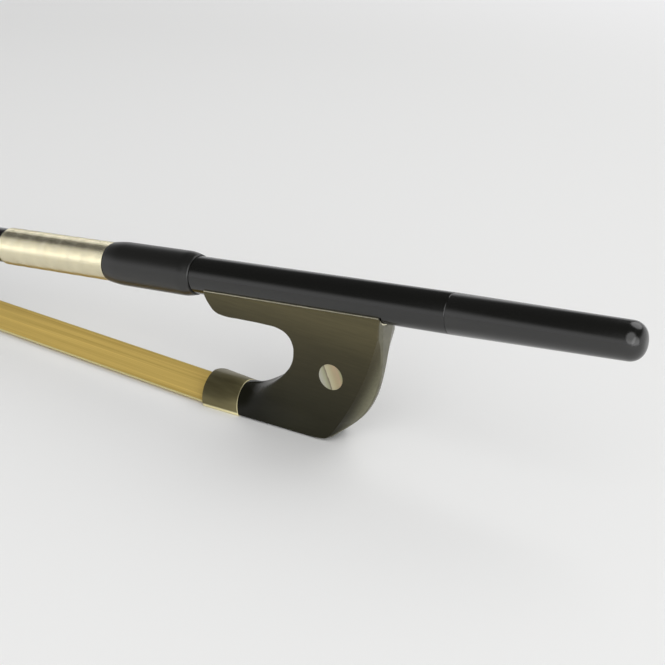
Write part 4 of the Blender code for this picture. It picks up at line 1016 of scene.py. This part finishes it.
frog = put("frog_wood", carved(frog_mesh, frog_tools), ebony, "frog", ["frog_body"], sharp=34)
frog.modifiers.new("even_light", "WEIGHTED_NORMAL").keep_sharp = True
dress("slide", ebony)


# The pearl eyes and the slide's pearl
# Discs of mother of pearl let into the two faces and polished flush, and a pearl strip in the slide.
# Each eye shows two layers of the shell that meet in a slanting line: a green grey and a warm cream.

EYE_ROUND = 0.08 * MM
EYE_SPAN = 8.8 * MM
LINE_SHARE = 0.386
LINE_WAVER = 0.09

pearl, shade, shader = finish("pearl", (0.52, 0.47, 0.36), 0.2, coat_weight=0.3, coat_roughness=0.08)
where = shade.node("TexCoord", output="Object")
line_place = HANDLE @ Vector((-1.68 * MM, 0, -22.34 * MM))
line_across = HANDLE.to_3x3() @ Vector((0.951, 0, 0.307))
waves = shade.noise((700.0, 700.0, 220.0), 3.0)
from_line = where.vector_maths("DOT_PRODUCT", line_across) - line_place.dot(line_across)
across_eye = from_line / EYE_SPAN + LINE_SHARE + (waves - 0.5) * LINE_WAVER
layers = shade.node(
    "ValToRGB",
    {
        "stops": [
            (0.00, (0.41, 0.40, 0.33)),
            (0.16, (0.38, 0.37, 0.28)),
            (0.29, (0.31, 0.31, 0.19)),
            (0.385, (0.17, 0.14, 0.09)),
            (0.42, (0.44, 0.40, 0.26)),
            (0.52, (0.40, 0.36, 0.22)),
            (0.68, (0.34, 0.28, 0.16)),
            (0.84, (0.35, 0.26, 0.155)),
            (1.00, (0.21, 0.22, 0.11)),
        ]
    },
    {"Fac": across_eye},
)
sheen = waves.mix((0.88, 0.92, 0.94), (1.12, 1.08, 1.06))
shade.join(layers.tinted(sheen), shader.inputs["Base Color"])
for name, side in (("near", -1), ("far", 1)):
    back = (EYE_X, side * (FACE_HALF - EYE_DEPTH), EYE_Z)
    front = (EYE_X, side * FACE_HALF, EYE_Z)
    bm = bmesh.new()
    bm.from_mesh(rod(back, front, EYE_RADIUS, sides=96))
    rim = [e for e in bm.edges if e.calc_face_angle() > RIM_ANGLE]
    round_edges(bm, rim, EYE_ROUND, segments=2)
    eye = closed(bm, "eye")
    put("eye_disc_" + name, eye, pearl, "frog", ["eye_" + name], sharp=40, matrix=HANDLE)
dress("slide_pearl", pearl)


# The metal of the frog
# A D-shaped ferrule of nickel silver, drawn in towards the frog and leaning to the head, and a thin
# trough of the same metal, the underslide, between the frog and the stick. The eyelet is brass.

FERRULE_WALL = 0.55 * MM
FERRULE_SOLE = 0.5 * MM
FERRULE_CORNER = 0.35 * MM
FERRULE_ROUND = 0.12 * MM
TROUGH_OUTER = 6.75 * MM
TROUGH_INNER = 6.38 * MM
TROUGH_REACH = asin((FACE_HALF + TOP_FLARE) / GROOVE_RADIUS) + 0.06
TROUGH_STEPS = 24
TROUGH_FRONT = FROG_FRONT + 0.3 * MM

nickel, shade, shader = finish("nickel", (0.2, 0.18, 0.11), 0.36, metallic=0.8)
where = shade.node("TexCoord", output="Object")
tarnish = shade.noise((90.0, 500.0, 500.0), 3.0)
height = where.part("Z")
along = where.part("X") + height * FERRULE_LEAN - ferrule_front
# Pale metal is painted along the ferrule's foot and, at half strength, round its rear rim: painted
# highlights.
painted_foot_highlight = height.smooth(1.2 * MM, 0.6 * MM)
painted_rim_highlight = along.smooth(13.35 * MM, 13.5 * MM, last=0.5)
rub_tone_and_painted_highlight = shade.maths("MAXIMUM", painted_foot_highlight, painted_rim_highlight)
tone = tarnish.mix((0.105, 0.088, 0.038), (0.23, 0.205, 0.105))
shade.join(rub_tone_and_painted_highlight.mix(tone, (0.92, 0.84, 0.5)), shader.inputs["Base Color"])
shade.join(0.3 + tarnish * 0.18, shader.inputs["Roughness"])
outer = prism(
    arch_section(FERRULE_HALF_WIDTH, FERRULE_HEIGHT, 0.0, FERRULE_CORNER),
    ferrule_front,
    ferrule_front + FERRULE_LENGTH,
)
inner = prism(
    arch_section(FERRULE_HALF_WIDTH - FERRULE_WALL, FERRULE_HEIGHT - FERRULE_WALL, FERRULE_SOLE),
    ferrule_front - 1 * MM,
    ferrule_front + FERRULE_LENGTH + 1 * MM,
)
bm = bmesh.new()
bm.from_mesh(carved(outer, [(inner, "DIFFERENCE")]))
ends = (ferrule_front, ferrule_front + FERRULE_LENGTH)
sharp_edges = [e for e in bm.edges if e.is_manifold and e.calc_face_angle() > RIM_ANGLE]
rim = [e for e in sharp_edges if any(all(abs(v.co.x - end) < 1e-6 for v in e.verts) for end in ends)]
round_edges(bm, rim, FERRULE_ROUND, segments=2)
ferrule_mesh = closed(bm, "ferrule")
lean_and_taper(ferrule_mesh)
put("ferrule_shell", ferrule_mesh, nickel, "frog", ["ferrule"], sharp=40)

bright, shade, shader = finish("nickel_bright", (0.8, 0.75, 0.58), 0.34, metallic=1.0)
rub_tone_and_painted_highlight = shade.noise(400.0, 2.0)
shade.join(rub_tone_and_painted_highlight.mix((0.70, 0.65, 0.48), (0.90, 0.86, 0.68)), shader.inputs["Base Color"])
angles = [TROUGH_REACH * (step / TROUGH_STEPS - 1) for step in range(2 * TROUGH_STEPS + 1)]
section = [(TROUGH_OUTER * sin(a), -TROUGH_OUTER * cos(a)) for a in angles]
section += [(TROUGH_INNER * sin(a), -TROUGH_INNER * cos(a)) for a in reversed(angles)]
trough_end = heel_point(asin((HEEL_ARC_Z + GROOVE_RADIUS) / HEEL_ARC_RADIUS), HEEL_ARC_RADIUS)[0]
plain_trough = prism(section, TROUGH_FRONT, trough_end - 0.1 * MM)
shank_hole = rod((SHANK_X, 0, SHANK_TOP), (SHANK_X, 0, -9 * MM), SHANK_BORE, sides=32)
trough = carved(plain_trough, [(shank_hole, "DIFFERENCE")])
put("underslide_trough", trough, bright, "frog", ["underslide"], sharp=40, matrix=HANDLE)
brass, shade, shader = finish("brass", (0.72, 0.52, 0.22), 0.3, metallic=1.0)
dulled = shade.noise(500.0, 3.0)
shade.join(dulled.mix((0.60, 0.42, 0.17), (0.80, 0.60, 0.28)), shader.inputs["Base Color"])
dress("eyelet", brass)


# The screw and the button
# A steel screw in the stick draws the frog back when the button on it is turned. The button is turned
# from black stock, long and slightly tapered, with a bevelled front edge and a domed end.

steel, shade, shader = finish("steel", (0.55, 0.55, 0.56), 0.28, metallic=1.0)
rolled = shade.noise((2400.0, 200.0, 200.0), 2.0)
shade.join(0.2 + rolled * 0.2, shader.inputs["Roughness"])
dress("screw", steel)
button_look, shade, shader = finish("button_black", (0.0035, 0.0035, 0.0026), 0.2, specular_ior_level=0.8)
turning = shade.noise((1600.0, 80.0, 80.0), 2.0)
shade.join(0.16 + turning * 0.08, shader.inputs["Roughness"])
BUTTON_GAP = 0.04 * MM
BUTTON_LENGTH = 57.5 * MM
BUTTON_START = STICK_END + BUTTON_GAP
BUTTON_END = STICK_END + SEAT + BUTTON_LENGTH
BUTTON_RADIUS = 6.3 * MM
BUTTON_END_RADIUS = 5.75 * MM
BUTTON_DOME = 4.6 * MM
DOME_POWER = 0.75
DOME_STEPS = 20
BUTTON_BEVEL = 0.2 * MM
BEVEL_MIDDLE = 0.06 * MM
SHAFT_LENGTH = 22.0 * MM
SHAFT_RADIUS = 2.05 * MM

hole_end = BUTTON_START + SHAFT_LENGTH + SEAT
dome_start = BUTTON_END - BUTTON_DOME
button_profile = [
    (hole_end, 0),
    (hole_end, SHAFT_RADIUS),
    (BUTTON_START, SHAFT_RADIUS),
    (BUTTON_START, BUTTON_RADIUS - BUTTON_BEVEL),
    (BUTTON_START + BEVEL_MIDDLE, BUTTON_RADIUS - BEVEL_MIDDLE),
    (BUTTON_START + BUTTON_BEVEL, BUTTON_RADIUS),
]
for step in range(DOME_STEPS):
    turn = pi / 2 * step / DOME_STEPS
    radius = BUTTON_END_RADIUS * cos(turn) ** DOME_POWER
    button_profile.append((dome_start + BUTTON_DOME * sin(turn), radius))
button_profile.append((dome_start + BUTTON_DOME, 0))
button_mesh = turned("button", button_profile)
put("button_knob", button_mesh, button_look, "screw", ["button"], sharp=30, matrix=HANDLE)


# The hair
# Natural horsehair, a flat ribbon drawn tight from the head to the ferrule, some hundreds of hairs.

STRAND_SCALE = (6.0, 5200.0, 3000.0)
LOCK_SCALE = (10.0, 850.0, 400.0)

horsehair, shade, shader = finish("horsehair", (0.55, 0.41, 0.1), 0.4)
single = shade.noise(STRAND_SCALE, 2.0)
lock = shade.noise(LOCK_SCALE, 2.0)
tone = single * 0.55 + lock * 0.9 - 0.22
shade.join(tone.mix((0.34, 0.22, 0.035), (0.80, 0.62, 0.19)), shader.inputs["Base Color"])
edge_hair, shade, shader = finish("horsehair_edge", (0.78, 0.70, 0.36), 0.4)
single = shade.noise(STRAND_SCALE, 2.0)
shade.join(single.mix((0.42, 0.36, 0.15), (0.68, 0.60, 0.30)), shader.inputs["Base Color"])

HAIR_COLUMNS = 100
HAIR_LAYERS = 4
HAIR_STATIONS = 26
HAIR_RADIUS = 0.1 * MM
EDGE_COLUMNS = 2
COLUMN_DRAW = 0.3
LAYER_DRAW = 0.35
LEAN_DRAW = 0.18
HAIR_SAG = 0.08 * MM
FROG_WIDTH = 19.3 * MM
HEAD_WIDTH = 12.3 * MM
WIDTH_POWER = 1.8
FROG_NARROWING = 0.19
HEAD_NARROWING = 0.36
FROG_FLOOR = 0.76 * MM
FROG_TOP = 1.16 * MM
HEAD_FLOOR = plate_low.z - 1.4 * MM
HEAD_TOP = plate_low.z - 0.45 * MM
MORTISE_START = 5.5 * MM
MORTISE_SLOPE = 0.45
hair_head = head_x + 0.5 * MM

draw = np.random.RandomState(7)
xs = np.concatenate([
    ferrule_front + np.array([11.0, 6.0, 2.0]) * MM,
    np.linspace(ferrule_front, hair_head, HAIR_STATIONS),
    head_x - np.array([2.0, 4.0, 5.6, 7.0]) * MM,
])
in_ferrule = np.maximum(0.0, xs - ferrule_front)
under_head = np.maximum(0.0, hair_head - xs)
share = np.clip((ferrule_front - xs) / (ferrule_front - hair_head), 0.0, 1.0)
free_widths = FROG_WIDTH + (HEAD_WIDTH - FROG_WIDTH) * share**WIDTH_POWER
widths = free_widths - FROG_NARROWING * in_ferrule - HEAD_NARROWING * under_head
middle = np.sin(pi * share)
into_mortise = MORTISE_SLOPE * np.maximum(0.0, under_head - MORTISE_START)
low = FROG_FLOOR + (HEAD_FLOOR - FROG_FLOOR) * share + into_mortise
high = FROG_TOP + (HEAD_TOP - FROG_TOP) * share + into_mortise
ring = np.array([(0.0, 1.0), (0.87, -0.5), (-0.87, -0.5)])
points, faces, looks = [], [], []
for layer in range(HAIR_LAYERS):
    for column in range(HAIR_COLUMNS):
        shifted = column + 0.5 + 0.5 * (layer % 2) + draw.uniform(-COLUMN_DRAW, COLUMN_DRAW)
        spread = shifted / (HAIR_COLUMNS + 0.5) - 0.5
        height = (layer + 0.5 + draw.uniform(-LAYER_DRAW, LAYER_DRAW)) / HAIR_LAYERS
        lean = draw.uniform(-LEAN_DRAW, LEAN_DRAW) * MM
        phase = draw.uniform(0, 2 * pi)
        ys = spread * widths + lean * middle * np.sin(3 * share + phase)
        zs = low + height * (high - low) + HAIR_SAG * middle * np.sin(2 * share + 2 * phase)
        start = len(points)
        for x, y, z in zip(xs, ys, zs):
            points += [(x, y + HAIR_RADIUS * a, z + HAIR_RADIUS * b) for a, b in ring]
        for station in range(len(xs) - 1):
            base = start + 3 * station
            for side in range(3):
                other = (side + 1) % 3
                faces.append((base + side, base + 3 + side, base + 3 + other, base + other))
        faces.append((start, start + 1, start + 2))
        end = start + 3 * (len(xs) - 1)
        faces.append((end + 2, end + 1, end))
        at_edge = not EDGE_COLUMNS <= column < HAIR_COLUMNS - EDGE_COLUMNS
        looks += [int(at_edge)] * (3 * (len(xs) - 1) + 2)
hair_mesh = bpy.data.meshes.new("hair_strands")
hair_mesh.from_pydata(points, [], faces)
hair_mesh.materials.append(horsehair)
hair_mesh.materials.append(edge_hair)
hair_mesh.polygons.foreach_set("material_index", looks)
hair = put("hair_strands", hair_mesh, horsehair, None, ["hair"], sharp=80)
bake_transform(hair)
